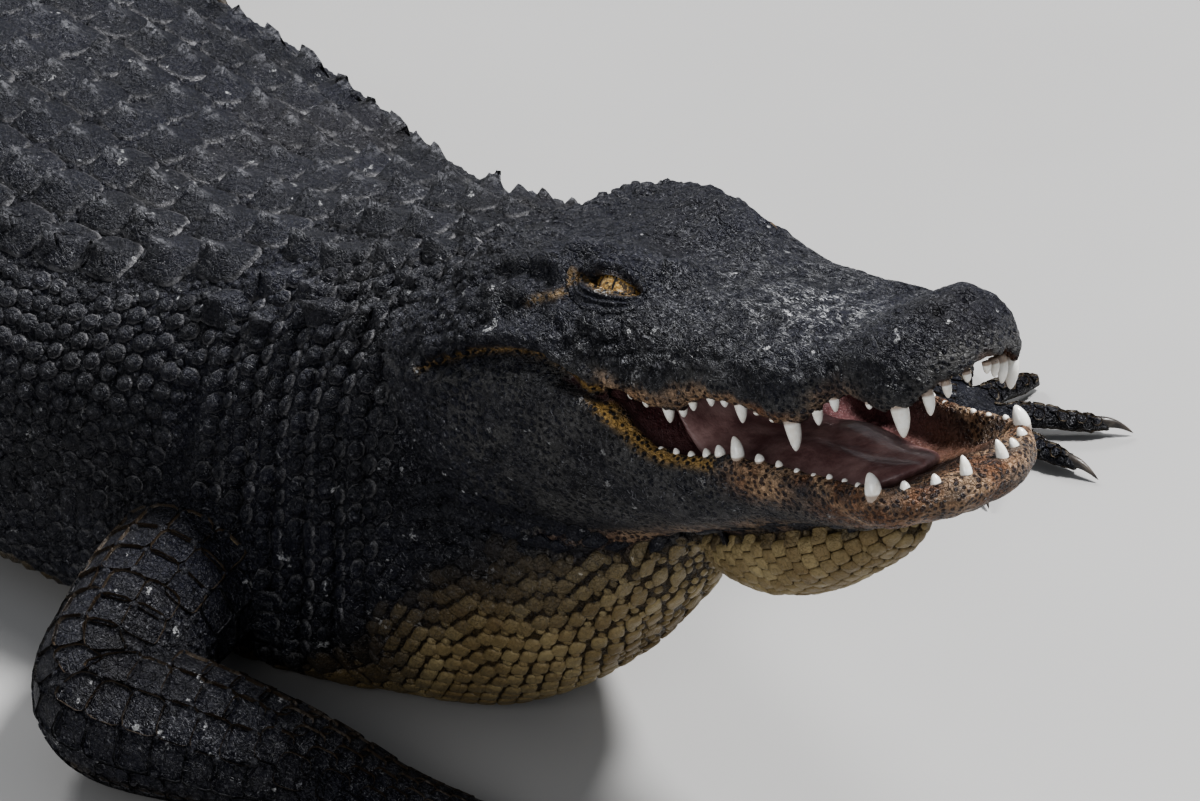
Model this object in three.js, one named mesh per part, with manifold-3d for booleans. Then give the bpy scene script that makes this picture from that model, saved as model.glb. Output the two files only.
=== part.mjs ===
// An American alligator lying on its belly with its head raised and its jaws a little open.
// Millimetres. +X is forward, +Y is the animal's left, +Z is up, and the floor is z = 0.
// The whole body is worked out around the jaw joint, which JOINT then puts in its place.

import * as THREE from 'three';
import { mergeVertices } from 'three/addons/utils/BufferGeometryUtils.js';
import Module from 'manifold-3d';

const wasm = await Module();
wasm.setup();

// Driving dimensions
const SKULL = 460;
const JOINT = new THREE.Vector3(1219.1, 35.1, 341);
const JOINT_BACK = 1.12;
const HEAD_YAW = 2.3;
const HEAD_ROLL = -1.5;
const UPPER_PITCH = 21.5;
const LOWER_PITCH = 15.3;
const GAP = 0.6;
const BODY_START = -200;
const TAIL_START = 1180;
const TAIL_END = 2930;
const TAIL_SWAY = 430;
const SWAY_LENGTH = 1700;
const CREST = 26;
const LEAST_LENGTH = 1e5;
const LEAST_PIECE = 200;
const CLAWED = 3;
const SMALLEST = 0.3;
const EYE_ROOM = 1.2;
const PALATE_ROOM = 3;
const COARSE = 2.4;
const COARSE_FOOT = 3.6;
const BODY_AROUND = 20;
const BODY_RINGS = 32;
const HEAD_AROUND = 18;
const UPPER_RINGS = 20;
const LOWER_RINGS = 17;
const LIMB_AROUND = 10;
const SOLE_AROUND = 8;
const DIGIT_AROUND = 5;
const CLAW_AROUND = 4;
const TOOTH_AROUND = 4;
const TOOTH_ROOT = 0.012;
const TOOTH_LEAN = 0.12;
const GUM_COVER = 0.004;
const SHEET_WIDE = 700;
const SHEET_HIGH = 900;
const NECK_CUT_BACK = 14;
const TIP_HEIGHT = 10;
const HEAD_END = 1.2;
const JAW_START = 0.028;

// Small helpers
const radians = THREE.MathUtils.degToRad;
const clamp = THREE.MathUtils.clamp;
const vec = (x, y, z) => new THREE.Vector3(x, y, z);
const bell = (x, middle, width) => Math.exp(-(((x - middle) / width) ** 2));
const power = (x, exponent) => Math.sign(x) * Math.abs(x) ** exponent;

// A smooth function through the knots [x, value], level at each local high or low.
function curve(...knots) {
  const slope = knots.map((knot, i) => {
    if (i === 0 || i === knots.length - 1) return 0;
    const before = (knot[1] - knots[i - 1][1]) / (knot[0] - knots[i - 1][0]);
    const after = (knots[i + 1][1] - knot[1]) / (knots[i + 1][0] - knot[0]);
    return before * after <= 0 ? 0 : (2 * before * after) / (before + after);
  });
  return (x) => {
    if (x <= knots[0][0]) return knots[0][1];
    if (x >= knots.at(-1)[0]) return knots.at(-1)[1];
    const i = knots.findIndex((knot) => knot[0] >= x) - 1;
    const span = knots[i + 1][0] - knots[i][0];
    const u = (x - knots[i][0]) / span;
    const held = knots[i][1] * (1 + 2 * u) * (1 - u) ** 2 + knots[i + 1][1] * u * u * (3 - 2 * u);
    return held + span * (slope[i] * u * (1 - u) ** 2 - slope[i + 1] * u * u * (1 - u));
  };
}

// A geometry with nothing but its places, so that its shared corners can be merged.
function stripped(geometry) {
  geometry.deleteAttribute('normal');
  geometry.deleteAttribute('uv');
  return geometry;
}

// A closed mesh as a solid, turned inside out if it needs it.
function solid(geometry) {
  const vertProperties = Float32Array.from(geometry.attributes.position.array);
  const triVerts = Uint32Array.from(geometry.index.array);
  const make = () => new wasm.Manifold(new wasm.Mesh({ numProp: 3, vertProperties, triVerts }));
  const first = make();
  if (first.volume() > 0) return first;
  for (let i = 0; i < triVerts.length; i += 3) {
    [triVerts[i], triVerts[i + 1]] = [triVerts[i + 1], triVerts[i]];
  }
  return make();
}

const join = (shapes) => wasm.Manifold.union(shapes);

// A closed skin of rings. place(t, angle, reach) gives a point at t of 0 to 1 along it and at angle
// around it. reach is 1 on a ring and 0 at the middle of the first and of the last.
function loft(around, rings, place) {
  const sphere = new THREE.SphereGeometry(1, around, rings + 1);
  sphere.deleteAttribute('normal');
  sphere.deleteAttribute('uv');
  const shape = mergeVertices(sphere);
  const spots = shape.attributes.position;
  for (let i = 0; i < spots.count; i += 1) {
    const row = Math.round((Math.acos(clamp(spots.getY(i), -1, 1)) / Math.PI) * (rings + 1));
    const angle = Math.atan2(spots.getZ(i), -spots.getX(i));
    const reach = row === 0 || row === rings + 1 ? 0 : 1;
    const t = clamp((row - 1) / (rings - 1), 0, 1);
    const spot = place(t, angle, reach);
    spots.setXYZ(i, spot.x, spot.y, spot.z);
  }
  return solid(shape);
}

// The trunk, neck and tail, by distance s behind the jaw joint
const topHeight = curve(
  [-200, 320], [-150, 352], [-80, 396], [0, 424], [60, 428], [130, 408], [220, 374], [320, 345],
  [420, 330], [560, 328], [720, 322], [880, 308], [1020, 290], [1140, 262], [1240, 236], [1400, 214],
  [1600, 190], [1900, 158], [2200, 126], [2500, 92], [2750, 56], [2900, 30], [2930, 24],
);
const bottomHeight = curve(
  [-200, 264], [-165, 194], [-120, 126], [-70, 72], [-20, 30], [24, 4], [60, -4], [200, -16], [300, -14],
  [420, -14], [560, -14], [900, -10], [1040, -2], [1200, 26], [1400, 20], [1600, 6], [1750, -3], [2930, -1],
);
const halfWidth = curve(
  [-200, 50], [-160, 76], [-100, 104], [-20, 130], [60, 156], [140, 178], [220, 202], [330, 230],
  [460, 256], [600, 270], [740, 278], [880, 268], [1010, 238], [1120, 190], [1230, 154], [1400, 128],
  [1600, 100], [1900, 68], [2200, 43], [2500, 26], [2750, 15], [2900, 8], [2930, 5],
);
const widestShare = curve([-200, 0.5], [0, 0.5], [200, 0.42], [900, 0.4], [1400, 0.48], [2930, 0.42]);
const bellyPower = curve(
  [-200, 1], [0, 1.1], [60, 0.7], [130, 0.42], [300, 0.36], [600, 0.38], [1000, 0.6], [1300, 0.9],
  [2930, 0.9],
);
const backPower = curve([-200, 0.9], [150, 0.9], [340, 0.74], [1000, 0.74], [1300, 0.86], [2930, 0.95]);
const crestHeight = curve([1120, 0], [1300, CREST * 0.5], [1600, CREST], [2500, CREST], [2900, 8], [2930, 3]);
const sway = (s) => TAIL_SWAY * 0.5 * (1 - Math.cos(Math.PI * clamp((s - TAIL_START) / SWAY_LENGTH, 0, 1)));

function bodyPoint(s, angle, reach, grow = 0) {
  const step = 2;
  const along = vec(-2 * step, sway(s + step) - sway(s - step), 0).normalize();
  const side = vec(along.y, -along.x, 0);
  const bottom = bottomHeight(s);
  const top = topHeight(s);
  const level = bottom + (top - bottom) * widestShare(s);
  const outward = power(Math.cos(angle), 0.9) * (halfWidth(s) + grow) * reach;
  const up = Math.sin(angle);
  const rise = up > 0
    ? power(up, backPower(s)) * (top - level + grow) + crestHeight(s) * up ** 24
    : power(up, bellyPower(s)) * (level - bottom + grow);
  return vec(-s, sway(s), level + rise * reach).addScaledVector(side, outward);
}

const bodyLoft = (grow) => loft(BODY_AROUND, BODY_RINGS, (t, angle, reach) => {
  const s = THREE.MathUtils.lerp(BODY_START, TAIL_END, t ** 1.12);
  return bodyPoint(s, angle, reach, grow);
});

// The head is in units of the skull's length, with x back from the tip of the snout, y to the
// left and z up from the palate. Each jaw turns about the joint by its own pitch.
function jawFrame(pitch) {
  const turn = new THREE.Euler(radians(HEAD_ROLL), -radians(pitch), radians(HEAD_YAW), 'ZYX');
  const frame = new THREE.Matrix4().makeRotationFromEuler(turn).setPosition(0, 0, JOINT.z);
  return (x, y, z) => vec((JOINT_BACK - x) * SKULL, y * SKULL, z * SKULL).applyMatrix4(frame);
}
const upper = jawFrame(UPPER_PITCH);
const lower = jawFrame(LOWER_PITCH);

const upperHalf = curve(
  [0, 0.03], [0.012, 0.066], [0.04, 0.108], [0.085, 0.139], [0.13, 0.148], [0.19, 0.146],
  [0.25, 0.166], [0.32, 0.184], [0.42, 0.19], [0.52, 0.2], [0.62, 0.222], [0.75, 0.256],
  [0.88, 0.284], [1.0, 0.3], [1.1, 0.304], [1.2, 0.28],
);
const crown = curve(
  [0, 0.062], [0.015, 0.09], [0.04, 0.118], [0.075, 0.138], [0.115, 0.142], [0.17, 0.126],
  [0.24, 0.119], [0.35, 0.128], [0.45, 0.142], [0.55, 0.162], [0.64, 0.186], [0.72, 0.208],
  [0.82, 0.229], [0.92, 0.236], [1.0, 0.231], [1.07, 0.2], [1.2, 0.16],
);
const widestHeight = curve([0, 0.04], [0.2, 0.03], [0.5, 0.03], [0.7, 0.06], [0.9, 0.09], [1.2, 0.09]);
const lipHeight = curve(
  [0, 0.03], [0.03, 0.018], [0.09, -0.008], [0.14, 0.002], [0.19, 0.014], [0.25, -0.006],
  [0.31, -0.032], [0.38, -0.016], [0.45, 0.002], [0.5, 0.006], [0.56, -0.012], [0.6, -0.004],
  [0.65, 0.014], [0.7, 0.034], [1.2, 0.03],
);
const palateHeight = curve([0, 0.04], [0.2, 0.03], [0.6, 0.04], [0.75, 0.05], [1.2, 0.03]);

function upperPoint(x, angle, reach) {
  const half = upperHalf(x);
  const level = Math.max(widestHeight(x), lipHeight(x) + 0.015);
  const across = Math.cos(angle);
  const up = Math.sin(angle);
  const boxy = THREE.MathUtils.lerp(0.72, 0.6, clamp((x - 0.2) / 0.4, 0, 1));
  let y = power(across, boxy) * half;
  let z;
  if (up > 0) {
    const cheek = clamp((x - 0.55) / 0.25, 0, 1);
    z = level + (crown(x) - level) * up ** THREE.MathUtils.lerp(0.85, 1.15, cheek);
    const brow = bell(x, 0.74, 0.085) * bell(Math.abs(y), 0.095, 0.045) * 0.022;
    const rim = bell(x, 0.9, 0.13) * bell(Math.abs(y), 0.15, 0.03) * 0.012;
    const nostril = bell(x, 0.06, 0.03) * bell(Math.abs(y), 0.035, 0.03) * 0.008;
    z += brow + rim + nostril;
  } else {
    const drop = Math.min(1, -up / 0.5);
    const inner = clamp((-up - 0.5) / 0.5, 0, 1);
    const edge = THREE.MathUtils.lerp(level, lipHeight(x), Math.sin(drop * Math.PI / 2));
    z = THREE.MathUtils.lerp(edge, palateHeight(x), inner ** 0.5);
    y = power(across, 0.5) * (half - 0.012 * drop);
  }
  const middle = (crown(x) + lipHeight(x)) / 2;
  return upper(x, y * reach, THREE.MathUtils.lerp(middle, z, reach));
}

const jawHalf = curve(
  [0.028, 0.03], [0.036, 0.062], [0.06, 0.108], [0.1, 0.152], [0.14, 0.18], [0.19, 0.184],
  [0.26, 0.178], [0.35, 0.188], [0.45, 0.208], [0.6, 0.238], [0.8, 0.284], [1.0, 0.312],
  [1.12, 0.318], [1.2, 0.29],
);
const rimHeight = curve(
  [0.028, -0.03], [0.05, -0.023], [0.08, -0.025], [0.14, -0.022], [0.2, -0.018], [0.3, -0.02],
  [0.38, -0.01], [0.44, -0.004], [0.54, -0.016], [0.6, -0.01], [0.64, 0.018], [0.68, 0.07],
  [0.72, 0.1], [1.2, 0.09],
);
const troughDepth = curve(
  [0.028, 0], [0.12, 0.006], [0.18, 0.034], [0.26, 0.06], [0.45, 0.075], [0.62, 0.06], [0.74, 0.02],
  [0.8, 0], [1.2, 0],
);
const jawBottom = curve(
  [0.028, -0.062], [0.05, -0.085], [0.1, -0.105], [0.2, -0.122], [0.35, -0.145], [0.5, -0.175],
  [0.65, -0.21], [0.8, -0.245], [0.95, -0.26], [1.08, -0.25], [1.2, -0.2],
);

function lowerPoint(x, angle, reach) {
  const half = jawHalf(x);
  const rim = rimHeight(x);
  const bottom = jawBottom(x);
  const across = Math.cos(angle);
  const up = Math.sin(angle);
  let y = power(across, 0.75) * half;
  let z;
  if (up <= 0) {
    z = rim - 0.02 + (rim - 0.02 - bottom) * power(up, 0.8);
  } else {
    const lift = Math.min(1, up / 0.35);
    const inner = clamp((up - 0.35) / 0.35, 0, 1);
    const shelf = Math.min(0.045, half * 0.5);
    y = power(across, 0.75) * (half - 0.3 * shelf * lift);
    z = THREE.MathUtils.lerp(rim - 0.02, rim, lift) - troughDepth(x) * THREE.MathUtils.smoothstep(inner, 0, 1);
  }
  const middle = (rim + bottom) / 2;
  return lower(x, y * reach, THREE.MathUtils.lerp(middle, z, reach));
}

const upperLoft = loft(HEAD_AROUND, UPPER_RINGS, (t, angle, reach) => {
  const x = HEAD_END * t ** 1.35;
  return upperPoint(x, angle, reach);
});
const jawLoft = loft(HEAD_AROUND, LOWER_RINGS, (t, angle, reach) => {
  const x = THREE.MathUtils.lerp(JAW_START, HEAD_END, t ** 1.3);
  return lowerPoint(x, angle, reach);
});
const chinSac = loft(10, 6, (t, angle, reach) => {
  const girth = Math.sin(Math.PI * (0.06 + 0.88 * t)) ** 0.6 * reach;
  const x = 0.25 + 0.5 * t;
  return lower(x, 0.12 * girth * Math.cos(angle), -0.138 - 0.12 * t + 0.12 * girth * Math.sin(angle));
});

// Teeth: [x, |y|, length, radius] in skull lengths, from the front of each side
const UPPER_TEETH = [
  [0.028, 0.022, 0.014, 0.008], [0.046, 0.052, 0.022, 0.009], [0.062, 0.08, 0.034, 0.011],
  [0.088, 0.12, 0.05, 0.016], [0.142, 0.134, 0.01, 0.007], [0.222, 0.138, 0.022, 0.009],
  [0.258, 0.148, 0.028, 0.01], [0.31, 0.162, 0.048, 0.0145], [0.424, 0.167, 0.034, 0.011],
  [0.458, 0.17, 0.014, 0.008], [0.488, 0.173, 0.016, 0.008], [0.528, 0.18, 0.016, 0.008],
  [0.552, 0.184, 0.018, 0.009], [0.582, 0.19, 0.03, 0.011], [0.622, 0.2, 0.014, 0.008],
];
const LOWER_TEETH = [
  [0.056, 0.04, 0.032, 0.0115], [0.078, 0.086, 0.016, 0.01], [0.104, 0.128, 0.014, 0.01],
  [0.14, 0.163, 0.044, 0.0165], [0.356, 0.168, 0.009, 0.008], [0.394, 0.175, 0.01, 0.009],
  [0.437, 0.183, 0.03, 0.0125], [0.474, 0.189, 0.015, 0.01], [0.502, 0.194, 0.011, 0.008],
  [0.534, 0.2, 0.01, 0.008], [0.564, 0.206, 0.01, 0.008],
];

// A cone from inside the gum at (x, y, z), pointing up or down in the jaw's own frame.
function tooth(frame, [x, across, length, radius], side, gum, direction) {
  const cone = mergeVertices(stripped(new THREE.ConeGeometry(radius, length + TOOTH_ROOT, TOOTH_AROUND)));
  const spots = cone.attributes.position;
  for (let i = 0; i < spots.count; i += 1) {
    const along = spots.getY(i) + (length - TOOTH_ROOT) / 2;
    const lean = TOOTH_LEAN * Math.max(0, along);
    const spot = frame(x + lean + spots.getX(i), side * across + spots.getZ(i), gum + direction * along);
    spots.setXYZ(i, spot.x, spot.y, spot.z);
  }
  return solid(cone);
}
function teeth(frame, list, gum, direction) {
  const all = [];
  for (const side of [-1, 1]) {
    for (const row of list) all.push(tooth(frame, row, side, gum(row[0]), direction));
  }
  return all;
}
const upperTeeth = teeth(upper, UPPER_TEETH, (x) => lipHeight(x) + GUM_COVER, -1);
const lowerTeeth = teeth(lower, LOWER_TEETH, (x) => rimHeight(x) - GUM_COVER, 1);

// Eyes and tongue
const EYE = [0.706, 0.128, 0.158];
const EYE_RADIUS = 24;
function eyeball(side, grow) {
  const centre = upper(EYE[0], side * EYE[1], EYE[2]);
  const ball = mergeVertices(stripped(new THREE.SphereGeometry(EYE_RADIUS + grow, 10, 7)));
  return solid(ball.translate(centre.x, centre.y, centre.z));
}
const tongue = (grow) => loft(10, 7, (t, angle, reach) => {
  const x = 0.2 + 0.5 * t;
  const half = 0.118 * Math.sin(Math.PI * (0.1 + 0.55 * t)) ** 0.6 + grow / SKULL;
  const floor = rimHeight(x) - troughDepth(x);
  const thick = 0.034 * Math.sin(Math.PI * (0.08 + 0.8 * t)) ** 0.5 + grow / SKULL;
  return lower(x, half * Math.cos(angle) * reach, floor + 0.008 + thick * Math.sin(angle) * reach);
});

// Limbs are chains of flattened balls { at, wide, high }, each hulled to the next.
const ball = (x, y, z, wide, high) => ({ at: vec(x, y, z), wide, high });
function bead({ at, wide, high }, grow, around) {
  const sphere = mergeVertices(stripped(new THREE.SphereGeometry(1, around, around / 2 + 1)));
  sphere.rotateX(Math.PI / 2).scale(wide + grow, wide + grow, high + grow);
  return solid(sphere.translate(at.x, at.y, at.z));
}
function chain(balls, grow = 0, around = LIMB_AROUND) {
  const beads = balls.map((one) => bead(one, grow, around));
  return join(beads.slice(1).map((one, i) => wasm.Manifold.hull([beads[i], one])));
}

// A digit runs from the palm towards its tip, and a claw goes on from there.
function digit(palm, tip, radius) {
  const middle = palm.clone().lerp(tip, 0.55);
  middle.z = radius * 1.5;
  const low = tip.clone();
  low.z = radius * 0.78;
  return chain([
    { at: palm, wide: radius * 1.05, high: radius },
    { at: middle, wide: radius, high: radius },
    { at: low, wide: radius * 0.6, high: radius * 0.66 },
  ], 0, DIGIT_AROUND);
}
function claw(palm, tip, radius, grow) {
  const along = tip.clone().sub(palm).setZ(0).normalize();
  const reach = radius * 2.5;
  return loft(CLAW_AROUND, 3, (t, angle, spread) => {
    const girth = (radius * 0.52 * (1 - t * 0.88) + grow) * spread;
    const spot = tip.clone().addScaledVector(along, reach * (t - 0.22));
    spot.z = radius * 0.86 + radius * 0.16 * Math.sin(Math.PI * t) - radius * 0.5 * t * t;
    const side = vec(-along.y, along.x, 0);
    return spot.addScaledVector(side, girth * 0.8 * Math.cos(angle)).add(vec(0, 0, girth * Math.sin(angle)));
  });
}

// bends counts the balls up to the elbow or knee, and up to the wrist or ankle.
const LIMBS = {
  front_right: {
    balls: [
      ball(-244, -110, 104, 70, 68), ball(-216, -200, 102, 72, 68), ball(-184, -276, 90, 66, 66),
      ball(-150, -318, 68, 66, 64), ball(-74, -278, 56, 64, 54), ball(0, -236, 44, 52, 42),
      ball(58, -204, 30, 42, 29), ball(104, -184, 22, 48, 21),
    ],
    bends: [3, 6],
    palm: vec(96, -190, 20),
    tips: [[196, -88], [226, -132], [228, -192], [196, -256], [140, -286]],
    radius: 13,
  },
  front_left: {
    balls: [
      ball(-244, 110, 104, 70, 68), ball(-234, 208, 102, 70, 68), ball(-220, 304, 92, 62, 64),
      ball(-206, 368, 74, 57, 57), ball(-180, 420, 52, 50, 46), ball(-154, 464, 36, 38, 34),
      ball(-130, 500, 26, 34, 24), ball(-106, 524, 20, 44, 19),
    ],
    bends: [3, 6],
    palm: vec(-108, 524, 20),
    tips: [[-18, 478], [6, 560], [-22, 622], [-112, 624], [-172, 598]],
    radius: 13,
  },
  hind_right: {
    balls: [
      ball(-1180, -70, 128, 84, 96), ball(-1140, -170, 126, 84, 92), ball(-1078, -266, 106, 74, 80),
      ball(-1042, -334, 84, 62, 66), ball(-1092, -392, 60, 52, 52), ball(-1160, -424, 42, 40, 38),
      ball(-1206, -456, 28, 34, 26), ball(-1186, -520, 21, 38, 20), ball(-1150, -566, 19, 46, 18),
    ],
    bends: [3, 6],
    palm: vec(-1156, -560, 19),
    tips: [[-1022, -562], [-1010, -636], [-1040, -700], [-1108, -728]],
    radius: 14,
  },
  hind_left: {
    balls: [
      ball(-1190, 70, 128, 84, 96), ball(-1176, 170, 126, 84, 92), ball(-1146, 262, 106, 74, 80),
      ball(-1130, 326, 84, 62, 66), ball(-1190, 372, 60, 52, 52), ball(-1258, 396, 42, 40, 38),
      ball(-1302, 424, 28, 34, 26), ball(-1276, 480, 21, 38, 20), ball(-1232, 516, 19, 46, 18),
    ],
    bends: [3, 6],
    palm: vec(-1240, 512, 19),
    tips: [[-1092, 488], [-1102, 558], [-1138, 622], [-1206, 658]],
    radius: 14,
  },
};

const onFloor = (shape) => shape.trimByPlane([0, 0, 1], 0);
const pieces = (shape, least = LEAST_PIECE) => shape.decompose().filter((piece) => piece.volume() > least);
const largest = (shape) => pieces(shape).sort((a, b) => b.volume() - a.volume())[0];
const middleOf = (shape) => {
  const box = shape.boundingBox();
  return vec(...box.min).add(vec(...box.max)).multiplyScalar(0.5);
};

// The body with its jaws, whole
const wholeHead = join([upperLoft, ...upperTeeth]).simplify(COARSE);
const wholeJaw = join([jawLoft, chinSac, ...lowerTeeth]).simplify(COARSE).subtract(tongue(GAP));
const wholeBody = onFloor(join([bodyLoft(0), wholeHead, wholeJaw])).simplify(SMALLEST);

// The groove behind the mouth corner, where the skin of the two jaws meets, as a thin bent sheet
function jawGroove() {
  const knots = [[0.55, -0.045], [0.6, -0.028], [0.64, 0.01], [0.69, 0.038], [0.8, 0.06], [1.3, 0.05]];
  const outline = new THREE.Shape();
  const thick = GAP / SKULL;
  knots.forEach(([x, z], i) => (i ? outline.lineTo(x, z + thick) : outline.moveTo(x, z + thick)));
  [...knots].reverse().forEach(([x, z]) => outline.lineTo(x, z));
  outline.closePath();
  const sheet = new THREE.ExtrudeGeometry(outline, { depth: 1, bevelEnabled: false });
  const shape = mergeVertices(stripped(sheet));
  const spots = shape.attributes.position;
  for (let i = 0; i < spots.count; i += 1) {
    const spot = upper(spots.getX(i), spots.getZ(i) - 0.5, spots.getY(i));
    spots.setXYZ(i, spot.x, spot.y, spot.z);
  }
  return solid(shape);
}

// A thin sheet across the neck, square to the head, just behind the jaw joint
function neckCut() {
  const slab = mergeVertices(stripped(new THREE.BoxGeometry(GAP, SHEET_WIDE, SHEET_HIGH)));
  const turn = new THREE.Euler(0, -radians(UPPER_PITCH), radians(HEAD_YAW), 'ZYX');
  slab.applyMatrix4(new THREE.Matrix4().makeRotationFromEuler(turn));
  return solid(slab.translate(-NECK_CUT_BACK, 0, JOINT.z));
}
function crossCut(s) {
  const slab = mergeVertices(stripped(new THREE.BoxGeometry(GAP, SHEET_WIDE, SHEET_HIGH)));
  const heading = Math.atan2(sway(s - 2) - sway(s + 2), 4);
  slab.rotateZ(heading);
  return solid(slab.translate(-s, sway(s), 0));
}

const BODY_CUTS = [330, 760, 1200, 1540, 1880, 2220, 2560];
const BODY_NAMES = ['neck', 'trunk_front', 'trunk_rear', 'tail_1', 'tail_2', 'tail_3', 'tail_4', 'tail_5'];

const solids = {};
const eyes = { eye_right: eyeball(-1, 0), eye_left: eyeball(1, 0) };
const eyeRoom = join([eyeball(-1, EYE_ROOM), eyeball(1, EYE_ROOM)]);
const parted = wholeBody.subtract(join([neckCut(), ...BODY_CUTS.map(crossCut)])).subtract(eyeRoom);
const lengths = pieces(parted, LEAST_LENGTH).sort((a, b) => middleOf(b).x - middleOf(a).x);
const headPieces = pieces(lengths.shift().subtract(jawGroove()), LEAST_LENGTH);
headPieces.sort((a, b) => middleOf(b).z - middleOf(a).z);
solids.head = headPieces[0];
solids.lower_jaw = headPieces[1];
solids.tongue = tongue(0).subtract(wholeHead.translate([0, 0, -PALATE_ROOM]));
Object.assign(solids, eyes);
lengths.forEach((piece, i) => { solids[BODY_NAMES[i]] = piece; });

// Each stretch of a limb gives way to what it grows from.
const bodyRoom = join([bodyLoft(GAP), wholeHead, wholeJaw]);
for (const [name, limb] of Object.entries(LIMBS)) {
  const { balls, bends, palm, radius } = limb;
  const tips = limb.tips.map(([x, y]) => vec(x, y, TIP_HEIGHT));
  const clawTips = tips.slice(0, CLAWED);
  const upperBalls = balls.slice(0, bends[0] + 1);
  const lowerBalls = balls.slice(bends[0], bends[1] + 1);
  const upperRoom = chain(upperBalls, GAP);
  const lowerRoom = chain(lowerBalls, GAP);
  const clawRoom = clawTips.map((tip) => claw(palm, tip, radius, GAP));
  const sole = chain(balls.slice(bends[1]), 0, SOLE_AROUND);
  const foot = join([sole, ...tips.map((tip) => digit(palm, tip, radius))]).simplify(COARSE_FOOT);
  solids[`${name}_upper`] = onFloor(chain(upperBalls).subtract(bodyRoom));
  solids[`${name}_lower`] = onFloor(chain(lowerBalls).subtract(join([upperRoom, bodyRoom])));
  solids[`${name}_foot`] = onFloor(foot.subtract(join([lowerRoom, upperRoom, ...clawRoom])));
  clawTips.forEach((tip, i) => {
    solids[`claw_${name}_${i + 1}`] = onFloor(claw(palm, tip, radius, 0));
  });
}

// Materials and the named meshes
const finish = {
  hide: { color: 0x23262b, roughness: 0.62, metalness: 0 },
  jaw: { color: 0x3a3128, roughness: 0.6, metalness: 0 },
  tongue: { color: 0xa9777a, roughness: 0.45, metalness: 0 },
  eye: { color: 0x9a7a33, roughness: 0.15, metalness: 0 },
  claw: { color: 0x2b2723, roughness: 0.45, metalness: 0 },
};
const finishOf = (name) => {
  if (name.startsWith('claw')) return finish.claw;
  if (name.startsWith('eye')) return finish.eye;
  if (name === 'tongue') return finish.tongue;
  return name === 'lower_jaw' ? finish.jaw : finish.hide;
};

const alligator = new THREE.Group();
for (const [name, shape] of Object.entries(solids)) {
  const { vertProperties, triVerts } = largest(shape.simplify(SMALLEST)).getMesh();
  const geometry = new THREE.BufferGeometry();
  geometry.setAttribute('position', new THREE.BufferAttribute(vertProperties, 3));
  geometry.setIndex(new THREE.BufferAttribute(triVerts, 1));
  const mesh = new THREE.Mesh(geometry, new THREE.MeshStandardMaterial(finishOf(name)));
  mesh.name = name;
  mesh.position.set(JOINT.x, JOINT.y, 0);
  alligator.add(mesh);
}

export default alligator;
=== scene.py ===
"""The finish of the alligator: one skin over all of its flesh, with lids, scales, keeled scutes,
teeth, tongue, eyes and claws, a grey floor, soft light and the photograph's camera.

Shapes are worked out in millimetres around the jaw joint, as the part's source does, and place()
turns them into the frame's metres. s is the distance behind the joint, and an angle of 90 degrees
is the middle of the back.
"""
import numpy as np
import bpy
from mathutils import Matrix
from mathutils.bvhtree import BVHTree
from mathutils.kdtree import KDTree


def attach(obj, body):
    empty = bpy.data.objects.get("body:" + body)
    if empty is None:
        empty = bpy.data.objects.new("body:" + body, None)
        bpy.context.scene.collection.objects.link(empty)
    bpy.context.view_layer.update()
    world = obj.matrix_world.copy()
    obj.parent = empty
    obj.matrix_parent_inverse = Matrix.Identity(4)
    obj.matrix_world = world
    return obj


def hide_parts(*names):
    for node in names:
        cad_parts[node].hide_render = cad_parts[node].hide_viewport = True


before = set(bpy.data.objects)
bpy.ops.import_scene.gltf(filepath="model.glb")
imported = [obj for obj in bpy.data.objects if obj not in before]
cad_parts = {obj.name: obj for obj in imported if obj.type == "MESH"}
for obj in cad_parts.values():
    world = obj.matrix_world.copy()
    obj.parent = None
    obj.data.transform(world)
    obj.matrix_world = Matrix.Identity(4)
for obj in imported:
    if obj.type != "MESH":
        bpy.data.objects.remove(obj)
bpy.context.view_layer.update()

# Sizes, in millimetres
SKULL = 460.0
JOINT = np.array([1219.1, 35.1, 341.0])
JOINT_BACK = 1.12
HEAD_YAW, HEAD_ROLL, UPPER_PITCH, LOWER_PITCH = 2.3, -1.5, 21.5, 15.3
BODY_START, TAIL_START, TAIL_END = -200.0, 1180.0, 2930.0
TAIL_SWAY, SWAY_LENGTH = 430.0, 1700.0
COAT = 4.0
SKIN_FLOOR, COAT_FLOOR = 1.2, 0.3
FINE_VOXEL = 0.0035
FINE_REACH, COARSE_REACH, COARSE_DENSITY = 290.0, 760.0, 0.3
HEAD_MIDDLE = np.array([200.0, 10.0, 330.0])
LIMB_SAMPLES, ARC_SAMPLES, RING_SAMPLES = 60, 240, 300
CREASE_REACH = 16.0
HALF_PATCH = 0.0015
rng = np.random.default_rng(7)


# Small helpers
def circle(count):
    """Angles at equal steps once round."""
    return np.linspace(0, 2 * np.pi, count, endpoint=False)


def lengths(points):
    """The distance along a path up to each of its points."""
    return np.concatenate([[0], np.cumsum(np.linalg.norm(np.diff(points, axis=0), axis=1))])


def row_of(u, angles):
    """The places of a row: one u with each angle."""
    return np.stack([np.full(len(angles), u), angles], -1)


def bell(x, middle, width):
    return np.exp(-((x - middle) / width) ** 2)


def power(x, exponent):
    return np.sign(x) * np.abs(x) ** exponent


def step(low, high, x):
    u = np.clip((x - low) / (high - low), 0, 1)
    return u * u * (3 - 2 * u)


def mix(a, b, t):
    return a + (b - a) * t


def unit(v):
    return v / np.maximum(np.linalg.norm(v, axis=-1, keepdims=True), 1e-9)


def place(points):
    """Metres in the frame from millimetres around the joint."""
    return (points + np.array([JOINT[0], JOINT[1], 0.0])) / 1000


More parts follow.
